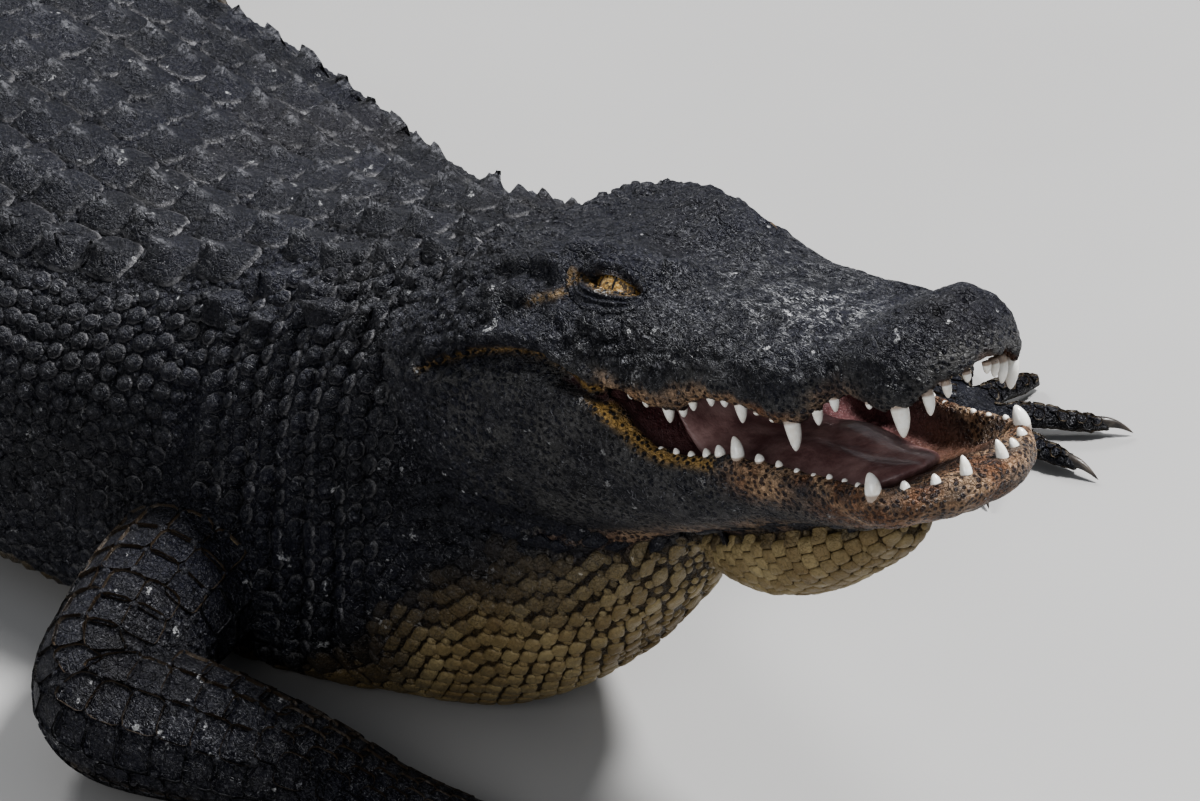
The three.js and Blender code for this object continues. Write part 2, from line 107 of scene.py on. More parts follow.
def curve(*knots):
    """A smooth function through the knots, level at each local high or low: a cubic on each span,
    whose slope at a knot is the harmonic mean of the slopes beside it."""
    xs, ys = np.array(knots, float).T
    rise = np.diff(ys) / np.diff(xs)
    before, after = rise[:-1], rise[1:]
    total = np.where(before * after > 0, before + after, 1.0)
    slope = np.concatenate([[0], np.where(before * after > 0, 2 * before * after / total, 0), [0]])

    def value(x):
        x = np.clip(x, xs[0], xs[-1])
        i = np.clip(np.searchsorted(xs, x, side="right") - 1, 0, len(xs) - 2)
        span = xs[i + 1] - xs[i]
        u = (x - xs[i]) / span
        held = ys[i] * (1 + 2 * u) * (1 - u) ** 2 + ys[i + 1] * u * u * (3 - 2 * u)
        return held + span * (slope[i] * u * (1 - u) ** 2 - slope[i + 1] * u * u * (1 - u))
    return value


def ripple(points, size, seed=0):
    """Smooth lumps between -1 and 1, about size across: the mean of sines along many directions."""
    turns = np.random.default_rng(seed)
    total = np.zeros(points.shape[:-1])
    for _ in range(9):
        way = turns.normal(size=3)
        way *= 2 * np.pi / (size * turns.uniform(0.7, 1.5)) / np.linalg.norm(way)
        total += np.sin(points @ way + turns.uniform(0, 6.28))
    return total / 4.2


def cells_near(points, size, seed):
    """Distances to the nearest and the second nearest of one jittered point in each cube of a grid, in
    cube sides. The jitter is the fraction left of a large sine of the cube's place."""
    spots = points / size
    base = np.floor(spots)
    near = np.full(len(points), 9.0)
    second = near.copy()
    shuffle = np.array([[127.1, 269.5, 113.5], [311.7, 183.3, 271.9], [74.7, 246.1, 124.6]])
    for corner in np.ndindex(3, 3, 3):
        cell = base + np.array(corner) - 1
        jitter = np.sin(cell @ shuffle + seed) * 43758.5453
        jitter -= np.floor(jitter)
        gap = np.linalg.norm(cell + 0.15 + 0.7 * jitter - spots, axis=1)
        second = np.minimum(second, np.maximum(near, gap))
        near = np.minimum(near, gap)
    return near, second


# The neck, trunk and tail
top_height = curve(
    (-200, 320), (-150, 352), (-80, 396), (0, 424), (60, 428), (130, 408), (220, 374), (320, 345),
    (420, 330), (560, 328), (720, 322), (880, 308), (1020, 290), (1140, 262), (1240, 236), (1400, 214),
    (1600, 190), (1900, 158), (2200, 126), (2500, 92), (2750, 56), (2900, 30), (2930, 24))
bottom_height = curve(
    (-200, 264), (-165, 194), (-120, 126), (-70, 72), (-20, 30), (24, 4), (60, -4), (200, -16), (300, -14),
    (420, -14), (560, -14), (900, -10), (1040, -2), (1200, 26), (1400, 20), (1600, 6), (1750, -3), (2930, -1))
half_width = curve(
    (-200, 50), (-160, 76), (-100, 104), (-20, 130), (60, 156), (140, 178), (220, 202), (330, 230),
    (460, 256), (600, 270), (740, 278), (880, 268), (1010, 238), (1120, 190), (1230, 154), (1400, 128),
    (1600, 100), (1900, 68), (2200, 43), (2500, 26), (2750, 15), (2900, 8), (2930, 5))
widest_share = curve((-200, 0.5), (0, 0.5), (200, 0.42), (900, 0.4), (1400, 0.48), (2930, 0.42))
belly_power = curve((-200, 1), (0, 1.1), (60, 0.7), (130, 0.42), (300, 0.36), (600, 0.38), (1000, 0.6),
                    (1300, 0.9), (2930, 0.9))
back_power = curve((-200, 0.9), (150, 0.9), (340, 0.74), (1000, 0.74), (1300, 0.86), (2930, 0.95))


def sway(s):
    return TAIL_SWAY * 0.5 * (1 - np.cos(np.pi * np.clip((s - TAIL_START) / SWAY_LENGTH, 0, 1)))


NECK_FOLD, FLANK_FOLD = 30.0, 17.0


def neck_wave(s, a):
    return 0.3 * np.sin(2.6 * a + 0.4) + 0.16 * np.sin(6 * a + s / 60)


def flank_wave(s, a):
    return 0.35 * np.sin(2.3 * a + s / 90) + 0.25 * np.sin(5 * a - s / 50)


def folds(s, a):
    """Creases that run down the sides: on the neck a few deep ones, on the flank many fine ones. Each
    is a bell-shaped groove about the nearest whole number of a phase that grows along the body."""
    side = step(0.25, 0.75, np.abs(np.cos(a)))
    low = step(-0.98, -0.75, np.sin(a))
    phase = s / NECK_FOLD + neck_wave(s, a)
    neck = step(30, 70, s) * (1 - step(215, 260, s)) * side
    deep = -9.0 * bell(phase - np.round(phase), 0, 0.2) * neck
    fine_phase = s / FLANK_FOLD + flank_wave(s, a)
    flank = step(200, 260, s) * (1 - step(1060, 1180, s)) * step(0.45, 0.8, np.abs(np.cos(a)))
    fine = -5.0 * bell(fine_phase - np.round(fine_phase), 0, 0.24) * flank
    return (deep + fine) * low


def body(s, a, grow=0.0):
    """A ring at s: its sides are the cosine of the angle to a power, its back and belly the sine to
    powers of their own, about the level where it is widest."""
    heading = np.stack([np.full_like(s, -4.0), sway(s + 2) - sway(s - 2), np.zeros_like(s)], -1)
    heading = unit(heading)
    side = np.stack([heading[..., 1], -heading[..., 0], np.zeros_like(s)], -1)
    bottom, top = bottom_height(s), top_height(s)
    level = bottom + (top - bottom) * widest_share(s)
    grow = grow + folds(s, a)
    outward = power(np.cos(a), 0.9) * (half_width(s) + grow)
    up = np.sin(a)
    back = power(np.maximum(up, 0), back_power(s)) * (top - level + grow)
    belly = np.maximum(-up, 0) ** belly_power(s) * (level - bottom + grow)
    rise = np.where(up > 0, back, -belly)
    middle = np.stack([-s, sway(s), level + rise], -1)
    return middle + side * outward[..., None]


def inside_body(points):
    """How far a point is inside the body, as a rough distance: positive inside."""
    s = np.clip(-points[..., 0], BODY_START, TAIL_END)
    bottom, top = bottom_height(s), top_height(s)
    level = bottom + (top - bottom) * widest_share(s)
    wide = half_width(s)
    across = np.clip(np.abs(points[..., 1] - sway(s)) / wide, 0, 2)
    rise = np.where(points[..., 2] > level, (points[..., 2] - level) / (top - level),
                    (level - points[..., 2]) / (level - bottom))
    exponent = np.where(points[..., 2] > level, back_power(s), belly_power(s))
    reach = across ** (2 / 0.9) + np.clip(rise, 0, 3) ** (2 / exponent)
    depth = (1 - reach ** 0.5) * np.minimum(wide, np.maximum(top - level, 20))
    return np.where(-points[..., 0] < BODY_START, -100, depth)


# The head, in skull lengths: x back from the tip of the snout, y to the left and z up from the palate
def turn_of(pitch):
    """The jaw's turn: a roll, then its pitch, then the yaw."""
    return np.array(Matrix.Rotation(np.radians(HEAD_YAW), 3, "Z")
                    @ Matrix.Rotation(-np.radians(pitch), 3, "Y")
                    @ Matrix.Rotation(np.radians(HEAD_ROLL), 3, "X"))


UPPER_TURN, LOWER_TURN = turn_of(UPPER_PITCH), turn_of(LOWER_PITCH)


def from_head(x, y, z, turn):
    local = np.stack(np.broadcast_arrays((JOINT_BACK - x) * SKULL, y * SKULL, z * SKULL), -1)
    return local @ turn.T + np.array([0, 0, JOINT[2]])


def to_head(points, turn):
    local = (points - np.array([0, 0, JOINT[2]])) @ turn
    return JOINT_BACK - local[..., 0] / SKULL, local[..., 1] / SKULL, local[..., 2] / SKULL


upper_half = curve(
    (0, 0.03), (0.012, 0.066), (0.04, 0.108), (0.085, 0.139), (0.13, 0.148), (0.19, 0.146),
    (0.25, 0.166), (0.32, 0.184), (0.42, 0.19), (0.52, 0.2), (0.62, 0.222), (0.75, 0.256),
    (0.88, 0.284), (1.0, 0.3), (1.1, 0.304), (1.2, 0.28))
crown = curve(
    (0, 0.062), (0.015, 0.09), (0.04, 0.118), (0.075, 0.138), (0.115, 0.142), (0.17, 0.126),
    (0.24, 0.119), (0.35, 0.128), (0.45, 0.142), (0.55, 0.162), (0.64, 0.186), (0.72, 0.208),
    (0.82, 0.229), (0.92, 0.236), (1.0, 0.231), (1.07, 0.2), (1.2, 0.16))
widest_height = curve((0, 0.04), (0.2, 0.03), (0.5, 0.03), (0.7, 0.06), (0.9, 0.09), (1.2, 0.09))
lip_height = curve(
    (0, 0.03), (0.03, 0.018), (0.09, -0.008), (0.14, 0.002), (0.19, 0.014), (0.25, -0.006),
    (0.31, -0.032), (0.38, -0.016), (0.45, 0.002), (0.5, 0.006), (0.56, -0.012), (0.6, -0.004),
    (0.65, 0.014), (0.7, 0.034), (1.2, 0.03))
palate_height = curve((0, 0.04), (0.2, 0.03), (0.6, 0.04), (0.75, 0.05), (1.2, 0.03))
jaw_half = curve(
    (0.028, 0.03), (0.036, 0.062), (0.06, 0.108), (0.1, 0.152), (0.14, 0.18), (0.19, 0.184),
    (0.26, 0.178), (0.35, 0.188), (0.45, 0.208), (0.6, 0.238), (0.8, 0.284), (1.0, 0.312), (1.12, 0.318),
    (1.2, 0.29))
rim_height = curve(
    (0.028, -0.03), (0.05, -0.023), (0.08, -0.025), (0.14, -0.022), (0.2, -0.018), (0.3, -0.02),
    (0.38, -0.01), (0.44, -0.004), (0.54, -0.016), (0.6, -0.01), (0.64, 0.018), (0.68, 0.07),
    (0.72, 0.1), (1.2, 0.09))
trough_depth = curve(
    (0.028, 0), (0.12, 0.006), (0.18, 0.034), (0.26, 0.06), (0.45, 0.075), (0.62, 0.06), (0.74, 0.02),
    (0.8, 0), (1.2, 0))
jaw_bottom = curve(
    (0.028, -0.062), (0.05, -0.085), (0.1, -0.105), (0.2, -0.122), (0.35, -0.145), (0.5, -0.175),
    (0.65, -0.21), (0.8, -0.245), (0.95, -0.26), (1.08, -0.25), (1.2, -0.2))


def boxiness(x):
    return mix(0.72, 0.6, np.clip((x - 0.2) / 0.4, 0, 1))


def head_top(x, y):
    """The height of the upper head's outside above a place on the palate's plane."""
    level = np.maximum(widest_height(x), lip_height(x) + 0.015)
    across = np.clip(np.abs(y) / upper_half(x), 0, 1) ** (1 / boxiness(x))
    up = np.sqrt(np.clip(1 - across ** 2, 0, 1))
    cheek = np.clip((x - 0.55) / 0.25, 0, 1)
    z = level + (crown(x) - level) * up ** mix(0.85, 1.15, cheek)
    y = np.abs(y)
    brow = bell(x, 0.74, 0.085) * bell(y, 0.095, 0.045) * 0.022
    rim = bell(x, 0.9, 0.13) * bell(y, 0.15, 0.03) * 0.012
    return z + brow + rim + bell(x, 0.06, 0.03) * bell(y, 0.035, 0.03) * 0.008


def upper_head(x, a):
    """A ring of the upper head: a boxy half ring above, and below the lip a palate that rises."""
    half = upper_half(x)
    level = np.maximum(widest_height(x), lip_height(x) + 0.015)
    across, up = np.cos(a), np.sin(a)
    y_above = power(across, boxiness(x)) * half
    drop = np.minimum(1, np.maximum(-up, 0) / 0.5)
    inner = np.clip((-up - 0.5) / 0.5, 0, 1)
    edge = mix(level, lip_height(x), np.sin(drop * np.pi / 2))
    y_below = power(across, 0.5) * (half - 0.012 * drop)
    above = up > 0
    z = np.where(above, head_top(x, y_above), mix(edge, palate_height(x), inner ** 0.5))
    return from_head(x, np.where(above, y_above, y_below), z, UPPER_TURN)


def lower_jaw(x, a):
    """A ring of the lower jaw: round below, with a rim above and a trough between its two sides."""
    half, rim, bottom = jaw_half(x), rim_height(x), jaw_bottom(x)
    across, up = np.cos(a), np.sin(a)
    below = rim - 0.02 - (rim - 0.02 - bottom) * np.maximum(-up, 0) ** 0.8
    lift = np.clip(up / 0.35, 0, 1)
    inner = step(0, 1, np.clip((up - 0.35) / 0.35, 0, 1))
    shelf = np.minimum(0.045, half * 0.5)
    z = np.where(up <= 0, below, mix(rim - 0.02, rim, lift) - trough_depth(x) * inner)
    y = power(across, 0.75) * (half - 0.3 * shelf * lift)
    return from_head(x, y, z, LOWER_TURN)


def chin_sac(t, a):
    """The loose skin under the chin: a round ring whose girth rises and falls along it."""
    girth = np.sin(np.pi * (0.06 + 0.88 * t)) ** 0.6
    return from_head(0.25 + 0.5 * t, 0.12 * girth * np.cos(a), -0.138 - 0.12 * t + 0.12 * girth * np.sin(a),
                     LOWER_TURN)


# The limbs: x, y, z, half width, half height of the flattened balls along each
LIMBS = {
    "front_right": dict(
        balls=[(-244, -110, 104, 70, 68), (-216, -200, 102, 72, 68), (-184, -276, 90, 66, 66),
               (-150, -318, 68, 66, 64), (-74, -278, 56, 64, 54), (0, -236, 44, 52, 42),
               (58, -204, 30, 42, 29), (104, -184, 22, 48, 21)],
        palm=(96, -190, 20), radius=13,
        tips=[(196, -88), (226, -132), (228, -192), (196, -256), (140, -286)]),
    "front_left": dict(
        balls=[(-244, 110, 104, 70, 68), (-234, 208, 102, 70, 68), (-220, 304, 92, 62, 64),
               (-206, 368, 74, 57, 57), (-180, 420, 52, 50, 46), (-154, 464, 36, 38, 34),
               (-130, 500, 26, 34, 24), (-106, 524, 20, 44, 19)],
        palm=(-108, 524, 20), radius=13,
        tips=[(-18, 478), (6, 560), (-22, 622), (-112, 624), (-172, 598)]),
    "hind_right": dict(
        balls=[(-1180, -70, 128, 84, 96), (-1140, -170, 126, 84, 92), (-1078, -266, 106, 74, 80),
               (-1042, -334, 84, 62, 66), (-1092, -392, 60, 52, 52), (-1160, -424, 42, 40, 38),
               (-1206, -456, 28, 34, 26), (-1186, -520, 21, 38, 20), (-1150, -566, 19, 46, 18)],
        palm=(-1156, -560, 19), radius=14,
        tips=[(-1022, -562), (-1010, -636), (-1040, -700), (-1108, -728)]),
    "hind_left": dict(
        balls=[(-1190, 70, 128, 84, 96), (-1176, 170, 126, 84, 92), (-1146, 262, 106, 74, 80),
               (-1130, 326, 84, 62, 66), (-1190, 372, 60, 52, 52), (-1258, 396, 42, 40, 38),
               (-1302, 424, 28, 34, 26), (-1276, 480, 21, 38, 20), (-1232, 516, 19, 46, 18)],
        palm=(-1240, 512, 19), radius=14,
        tips=[(-1092, 488), (-1102, 558), (-1138, 622), (-1206, 658)]),
}
CLAWED = 3


def along(rows, t):
    """A smooth path through the rows, each cubic span leaving a row along its neighbours' chord."""
    rows = np.asarray(rows, float)
    rows = np.vstack([2 * rows[0] - rows[1], rows, 2 * rows[-1] - rows[-2]])
    at = np.clip(t, 0, 1) * (len(rows) - 3)
    i = np.minimum(at.astype(int), len(rows) - 4)
    u = (at - i)[..., None]
    a, b, c, d = rows[i], rows[i + 1], rows[i + 2], rows[i + 3]
    return 0.5 * (2 * b + (c - a) * u + (2 * a - 5 * b + 4 * c - d) * u ** 2
                  + (3 * b - a - 3 * c + d) * u ** 3)


def tube(rows, t, a, grow=0.0):
    """Flattened rings along a path: their width lies level and across it, their height square to both."""
    spot = along(rows, t)
    ahead = unit(along(rows, t + 0.01)[..., :3] - along(rows, t - 0.01)[..., :3])
    side = unit(np.cross(ahead, np.array([0, 0, 1.0])))
    up = np.cross(side, ahead)
    wide = (spot[..., 3] + grow) * np.cos(a)
    high = (spot[..., 4] + grow) * np.sin(a)
    return spot[..., :3] - side * wide[..., None] + up * high[..., None]


def digit_rows(limb, tip):
    """A digit's flattened balls, from the palm over one knuckle to the tip."""
    palm, radius = np.array(limb["palm"], float), limb["radius"]
    end = np.array([tip[0], tip[1], radius * 0.78])
    middle = mix(palm, end, 0.5)
    return [(*palm, radius * 1.05, radius),
            (*mix(palm, end, 0.28)[:2], radius * 1.32, radius * 0.98, radius),
            (*middle[:2], radius * 1.5, radius * 1.02, radius * 1.02),
            (*mix(palm, end, 0.72)[:2], radius * 1.2, radius * 0.84, radius * 0.9),
            (*mix(palm, end, 0.88)[:2], radius * 1.02, radius * 0.8, radius * 0.86),
            (*end, radius * 0.6, radius * 0.66)]


def inside_limb(points, rows):
    """How far a point is inside a limb's chain of balls, at the deepest."""
    spots = along(rows, np.linspace(0, 1, LIMB_SAMPLES))
    best = np.full(points.shape[:-1], -1e3)
    for spot in spots:
        gap = (points - spot[:3]) / np.array([spot[3], spot[3], spot[4]])
        best = np.maximum(best, (1 - np.linalg.norm(gap, axis=-1)) * min(spot[3], spot[4]))
    return best


# Meshes from whole arrays
def grid_faces(rows, around):
    """The four-sided faces of a grid of points, joined round each row."""
    i = np.arange(rows - 1)[:, None] * around
    j = np.arange(around)[None, :]
    k = (j + 1) % around
    return np.stack([i + j, i + k, i + around + k, i + around + j], -1).reshape(-1, 4)


def capped(points):
    """A closed tube from rings of points, with a fan to the middle of the first and last ring."""
    rows, around = points.shape[:2]
    verts = np.vstack([points.reshape(-1, 3), points[0].mean(0), points[-1].mean(0)])
    j = np.arange(around)
    k = (j + 1) % around
    first, last = rows * around, rows * around + 1
    base = (rows - 1) * around
    fans = np.vstack([np.stack([np.full(around, first), k, j], -1),
                      np.stack([np.full(around, last), base + j, base + k], -1)])
    return verts, grid_faces(rows, around).tolist() + fans.tolist()


def ellipsoid(centre, radii, rings=14, around=24):
    """A ball stretched along the three axes."""
    t = np.linspace(0.02, np.pi - 0.02, rings)[:, None]
    a = circle(around)[None, :]
    ball = np.stack([np.sin(t) * np.cos(a), np.sin(t) * np.sin(a), np.cos(t) + 0 * a], -1)
    return capped(ball * np.array(radii) + np.array(centre))


def lofted(surface, u, around, *extra):
    """A closed tube of rings of a surface at each u."""
    a = circle(around)
    uu, aa = np.meshgrid(u, a, indexing="ij")
    return capped(surface(uu, aa, *extra))


def gather(parts):
    """One list of points and one of faces from several."""
    verts, faces, start = [], [], 0
    for points, some in parts:
        verts.append(points)
        faces += [[start + i for i in face] for face in some] if start else list(some)
        start += len(points)
    return np.vstack(verts), faces


def placed(shape):
    verts, faces = shape
    return place(verts), faces


def make_mesh(name, verts, faces, material, smooth=True):
    mesh = bpy.data.meshes.new(name)
    mesh.from_pydata(verts, [], faces)
    mesh.update()
    if smooth:
        mesh.polygons.foreach_set("use_smooth", np.ones(len(mesh.polygons), bool))
    piece = bpy.data.objects.new(name, mesh)
    bpy.context.scene.collection.objects.link(piece)
    mesh.materials.append(material)
    return piece


def paint(piece, name, values):
    layer = piece.data.attributes.new(name, "FLOAT", "POINT")
    layer.data.foreach_set("value", np.ascontiguousarray(values, np.float32))


def chart_on(piece, places):
    """The map for baking, from each vertex's place on the chart."""
    loops = np.empty(len(piece.data.loops), np.int32)
    piece.data.loops.foreach_get("vertex_index", loops)
    piece.data.uv_layers.new(name="OFBake").data.foreach_set("uv", places[loops].ravel())


# The skin: the parts are joined, made one by voxels that are finest about the head, and then shaped
def webs(limb, length):
    """Thin skin between neighbouring digits: a grid between two digits, its far edge hollow."""
    parts = []
    palm = np.array(limb["palm"], float)
    tips = [np.array([*tip, 0.0]) for tip in limb["tips"]]
    for one, two in zip(tips[:-1], tips[1:]):
        across = np.linspace(0, 1, 12)[None, :]
        out = np.linspace(0, 1, 14)[:, None] * (length - 0.28 * length * np.sin(np.pi * across))
        way = mix((one - palm)[:2], (two - palm)[:2], across[..., None])
        spot = palm[:2] + way * out[..., None]
        top = np.concatenate([spot, mix(15.0, 9.0, out)[..., None]], -1)
        bottom = np.concatenate([spot, np.full(out.shape, 2.0)[..., None]], -1)
        rings = np.concatenate([top, bottom[:, ::-1]], 1)
        parts.append(capped(rings))
    return parts


def flesh():
    parts = []
    s = mix(BODY_START, TAIL_END, np.linspace(0, 1, 560) ** 1.12)
    parts.append(lofted(body, s, 220, -COAT))
    parts.append(lofted(upper_head, 1.2 * np.linspace(0, 1, 300) ** 1.35, 260))
    parts.append(lofted(lower_jaw, 0.028 + 1.172 * np.linspace(0, 1, 260) ** 1.3, 240))
    parts.append(lofted(chin_sac, np.linspace(0, 1, 60), 70))
    for name, limb in LIMBS.items():
        rows = limb["balls"]
        ring = lambda t, a, rows=rows: tube(rows, t, a, -COAT)
        parts.append(lofted(ring, np.linspace(0, 1, 120), 60))
        for end in (rows[0], rows[-1]):
            parts.append(ellipsoid(end[:3], (end[3] - COAT, end[3] - COAT, end[4] - COAT)))
        for tip in limb["tips"]:
            toe = digit_rows(limb, tip)
            ring = lambda t, a, toe=toe: tube(toe, t, a, -1.0)
            parts.append(lofted(ring, np.linspace(0, 1, 40), 20))
            parts.append(ellipsoid(toe[-1][:3], (toe[-1][3],) * 2 + (toe[-1][4],), 10, 14))
        parts += webs(limb, 0.72 if name.startswith("hind") else 0.42)
    verts, faces = gather(parts)
    verts[:, 2] = np.maximum(verts[:, 2], SKIN_FLOOR)
    return verts, faces


REACHES = np.linspace(0, 4000, 4001)
DENSITY = 1 - (1 - COARSE_DENSITY) * step(FINE_REACH, COARSE_REACH, REACHES)
WARPED = np.concatenate([[0], np.cumsum((DENSITY[1:] + DENSITY[:-1]) / 2)]) * (REACHES[1] - REACHES[0])


def warp(points, source, target):
    """Moves each point along its ray from the head's middle, so that far things shrink or grow."""
    away = points - HEAD_MIDDLE
    far = np.linalg.norm(away, axis=-1, keepdims=True)
    return HEAD_MIDDLE + away * np.interp(far, source, target) / np.maximum(far, 1e-6)


def merged(verts, faces):
    """The voxel remesh of the joined parts, as points and faces of its own."""
    mesh = bpy.data.meshes.new("joined")
    mesh.from_pydata(warp(verts, REACHES, WARPED) / 1000, [], faces)
    joined = bpy.data.objects.new("joined", mesh)
    bpy.context.scene.collection.objects.link(joined)
    voxels = joined.modifiers.new("voxels", "REMESH")
    voxels.mode = "VOXEL"
    voxels.voxel_size = FINE_VOXEL
    bpy.context.view_layer.update()
    done = joined.evaluated_get(bpy.context.evaluated_depsgraph_get()).to_mesh()
    points = np.empty(len(done.vertices) * 3)
    done.vertices.foreach_get("co", points)
    quads = np.empty(len(done.loops), np.int32)
    done.loops.foreach_get("vertex_index", quads)
    counts = np.empty(len(done.polygons), np.int32)
    done.polygons.foreach_get("loop_total", counts)
    assert (counts == 4).all()
    bpy.data.objects.remove(joined)
    bpy.data.meshes.remove(mesh)
    return warp(points.reshape(-1, 3) * 1000, WARPED, REACHES), quads.reshape(-1, 4)


def edge_list(quads):
    pairs = np.vstack([quads[:, [0, 1]], quads[:, [1, 2]], quads[:, [2, 3]], quads[:, [3, 0]]])
    return np.unique(np.sort(pairs, 1), axis=0)


def relaxed(points, edges, weight, times):
    """Each point moves towards the mean of its neighbours by its weight, a few times over."""
    count = np.bincount(edges.ravel(), minlength=len(points))[:, None]
    for _ in range(times):
        total = np.stack([np.bincount(edges[:, 0], points[edges[:, 1], k], len(points))
                          + np.bincount(edges[:, 1], points[edges[:, 0], k], len(points))
                          for k in range(3)], -1)
        points = points + (total / np.maximum(count, 1) - points) * weight
    return points


def normals_of(points, quads):
    a, b, c, d = (points[quads[:, k]] for k in range(4))
    flat = np.cross(c - a, d - b)
    total = np.stack([np.bincount(quads.ravel(), np.repeat(flat[:, k], 4), len(points))
                      for k in range(3)], -1)
    return unit(total)


def ridge(x, y, path, width):
    """A bell across the distance to a bent path in a plane."""
    path = np.asarray(path, float)
    best = np.full(np.shape(x), 1e9)
    for (ax, ay), (bx, by) in zip(path[:-1], path[1:]):
        t = np.clip(((x - ax) * (bx - ax) + (y - ay) * (by - ay)) / ((bx - ax) ** 2 + (by - ay) ** 2), 0, 1)
        best = np.minimum(best, (x - ax - t * (bx - ax)) ** 2 + (y - ay - t * (by - ay)) ** 2)
    return np.exp(-best / width ** 2)


JAW_PARTING = curve((-0.1, -0.06), (0.3, -0.085), (0.55, -0.045), (0.6, -0.028), (0.64, 0.01), (0.69, 0.038),
                    (0.8, 0.06), (1.3, 0.05))
CORNER_GROOVE = [(0.66, 0.018), (0.70, 0.036), (0.74, 0.058), (0.79, 0.088), (0.85, 0.104), (0.93, 0.102),
                 (1.0, 0.09), (1.06, 0.074)]
EAR_SLIT = [(0.80, 0.192), (0.83, 0.203), (0.88, 0.209), (0.93, 0.205), (0.97, 0.193)]
TABLE_EDGE = [(0.80, 0.165), (0.88, 0.176), (0.96, 0.19), (1.03, 0.205)]
BROW = [(0.61, 0.082), (0.66, 0.104), (0.73, 0.122), (0.79, 0.136)]
CANTHUS = [(0.60, 0.088), (0.5, 0.086), (0.38, 0.088), (0.27, 0.09)]
EYE_TAIL = [(0.76, 0.187), (0.8, 0.18), (0.83, 0.175)]
LIP_MARGIN = [(0.48, -0.024), (0.58, -0.022), (0.62, -0.006), (0.66, 0.035), (0.7, 0.08)]
JAW_EDGE = [(1.12, -0.19), (1.063, -0.229), (0.957, -0.264), (0.825, -0.262), (0.65, -0.222), (0.5, -0.186),
            (0.35, -0.156), (0.2, -0.13)]
EYE = np.array([0.706, 0.128, 0.158])
EYE_RADIUS = 24.0
OPENING = np.array([0.694, 0.163, 0.192])


def head_relief(points, normal):
    """How far the head's skin stands out or in, in millimetres: ridges, grooves and lumps, each a bell
    about a place or a path in the jaw's own plane."""
    x, y, z = to_head(points, UPPER_TURN)
    y = np.abs(y)
    upper = z > JAW_PARTING(x)
    on_head = step(1.22, 1.1, x)
    up = (normal @ UPPER_TURN)[..., 2]
    top = step(-0.1, 0.3, up)
    d = 10.5 * ridge(x, y, BROW, 0.025) * top
    d += 5.0 * ridge(x, y, TABLE_EDGE, 0.018) * top
    d += 3.0 * ridge(x, y, CANTHUS, 0.022) * top
    d += 4.0 * bell(x, 0.60, 0.03) * bell(y, 0.05, 0.03) * top
    d -= 3.0 * bell(x, 0.21, 0.035) * bell(y, 0.0, 0.06) * top
    d -= 4.5 * bell(x, 0.68, 0.06) * bell(y, 0.0, 0.035) * top
    d += 7.0 * step(0.9, 1.08, x) * step(0.24, 0.1, y) * top
    side = step(0.12, 0.2, y)
    d -= 2.4 * ridge(x, z, EAR_SLIT, 0.007) * side
    d += 4.5 * bell(x, 0.885, 0.06) * bell(z, 0.19, 0.014) * side
    d += 2.0 * bell(x, 0.87, 0.1) * bell(z, 0.224, 0.012) * step(0.1, 0.16, y)
    d += 3.0 * bell(x, 0.8, 0.09) * bell(z, 0.13, 0.02) * side
    near_lip = bell(z, lip_height(x) + 0.022, 0.022) * side
    for bump, size in ((0.09, 0.03), (0.31, 0.05), (0.44, 0.03), (0.57, 0.04)):
        d += 3.0 * bell(x, bump, size) * bell(z, lip_height(x) + 0.03, 0.03) * step(0.06, 0.12, y)
    d += 1.2 * np.sin(x * 210 + 5 * z) * near_lip * step(0.25, 0.3, x) * step(0.66, 0.62, x)
    nose = np.hypot((x - 0.052) / 0.026, (y - 0.034) / 0.02)
    d += 0.8 * bell(nose, 1.15, 0.45) * top
    d -= 9.0 * bell(np.hypot((x - 0.05) / 0.008, (y - 0.034 - 0.5 * (x - 0.05)) / 0.012), 0, 0.9) * top
    lump, _ = cells_near(points, 21.0, 1.0)
    knobs = step(0.56, 0.7, x) * top * (0.35 + 0.65 * step(0.04, 0.09, y))
    d += 4.6 * np.clip(1 - (lump / 0.62) ** 2, 0, 1) * knobs
    crease, next_crease = cells_near(points * np.array([0.75, 1.0, 1.0]), 12.0, 2.0)
    d -= 1.5 * np.exp(-((next_crease - crease) / 0.13) ** 2) * on_head * (1 - 0.6 * near_lip)
    d = np.where(upper, d, 0)
    groove = ridge(x, z, CORNER_GROOVE, 0.0095) * step(0.16, 0.2, y) * step(1.1, 1.0, x)
    over = ridge(x, z - 0.026, CORNER_GROOVE, 0.014) * step(0.16, 0.2, y) * step(1.1, 1.0, x)
    under = ridge(x, z + 0.03, CORNER_GROOVE, 0.018) * step(0.16, 0.2, y) * step(1.1, 1.0, x)
    d += -10.0 * groove + 6.0 * over + 3.0 * under
    u, v, w = to_head(points, LOWER_TURN)
    v = np.abs(v)
    jaw = (~upper) * step(1.2, 1.05, u)
    d += jaw * 5.0 * bell(u, 0.95, 0.1) * bell(w, -0.03, 0.08) * step(0.2, 0.26, v)
    d -= jaw * 6.0 * ridge(u, w, JAW_EDGE, 0.009) * step(0.2, 0.3, u)
    d += jaw * 2.0 * ridge(u, w - 0.03, JAW_EDGE, 0.02)
    d += 1.5 * ripple(points, 46, 3) * on_head + 0.7 * ripple(points, 17, 4) * on_head
    return d * step(1.25, 1.1, x)


def eye_frame(side):
    """The eye's middle, and its outward, forward and upward directions, in millimetres."""
    centre = from_head(EYE[0], side * EYE[1], EYE[2], UPPER_TURN)
    opening = from_head(OPENING[0], side * OPENING[1], OPENING[2], UPPER_TURN)
    out = unit(opening - centre)
    ahead = from_head(EYE[0] - 0.1, side * EYE[1], EYE[2], UPPER_TURN) - centre
    ahead = unit(ahead - out * (ahead @ out))
    up = np.cross(out, ahead) * -side
    return centre, out, ahead, up


SOCKET_LONG, SOCKET_HIGH = 36.0, 25.0


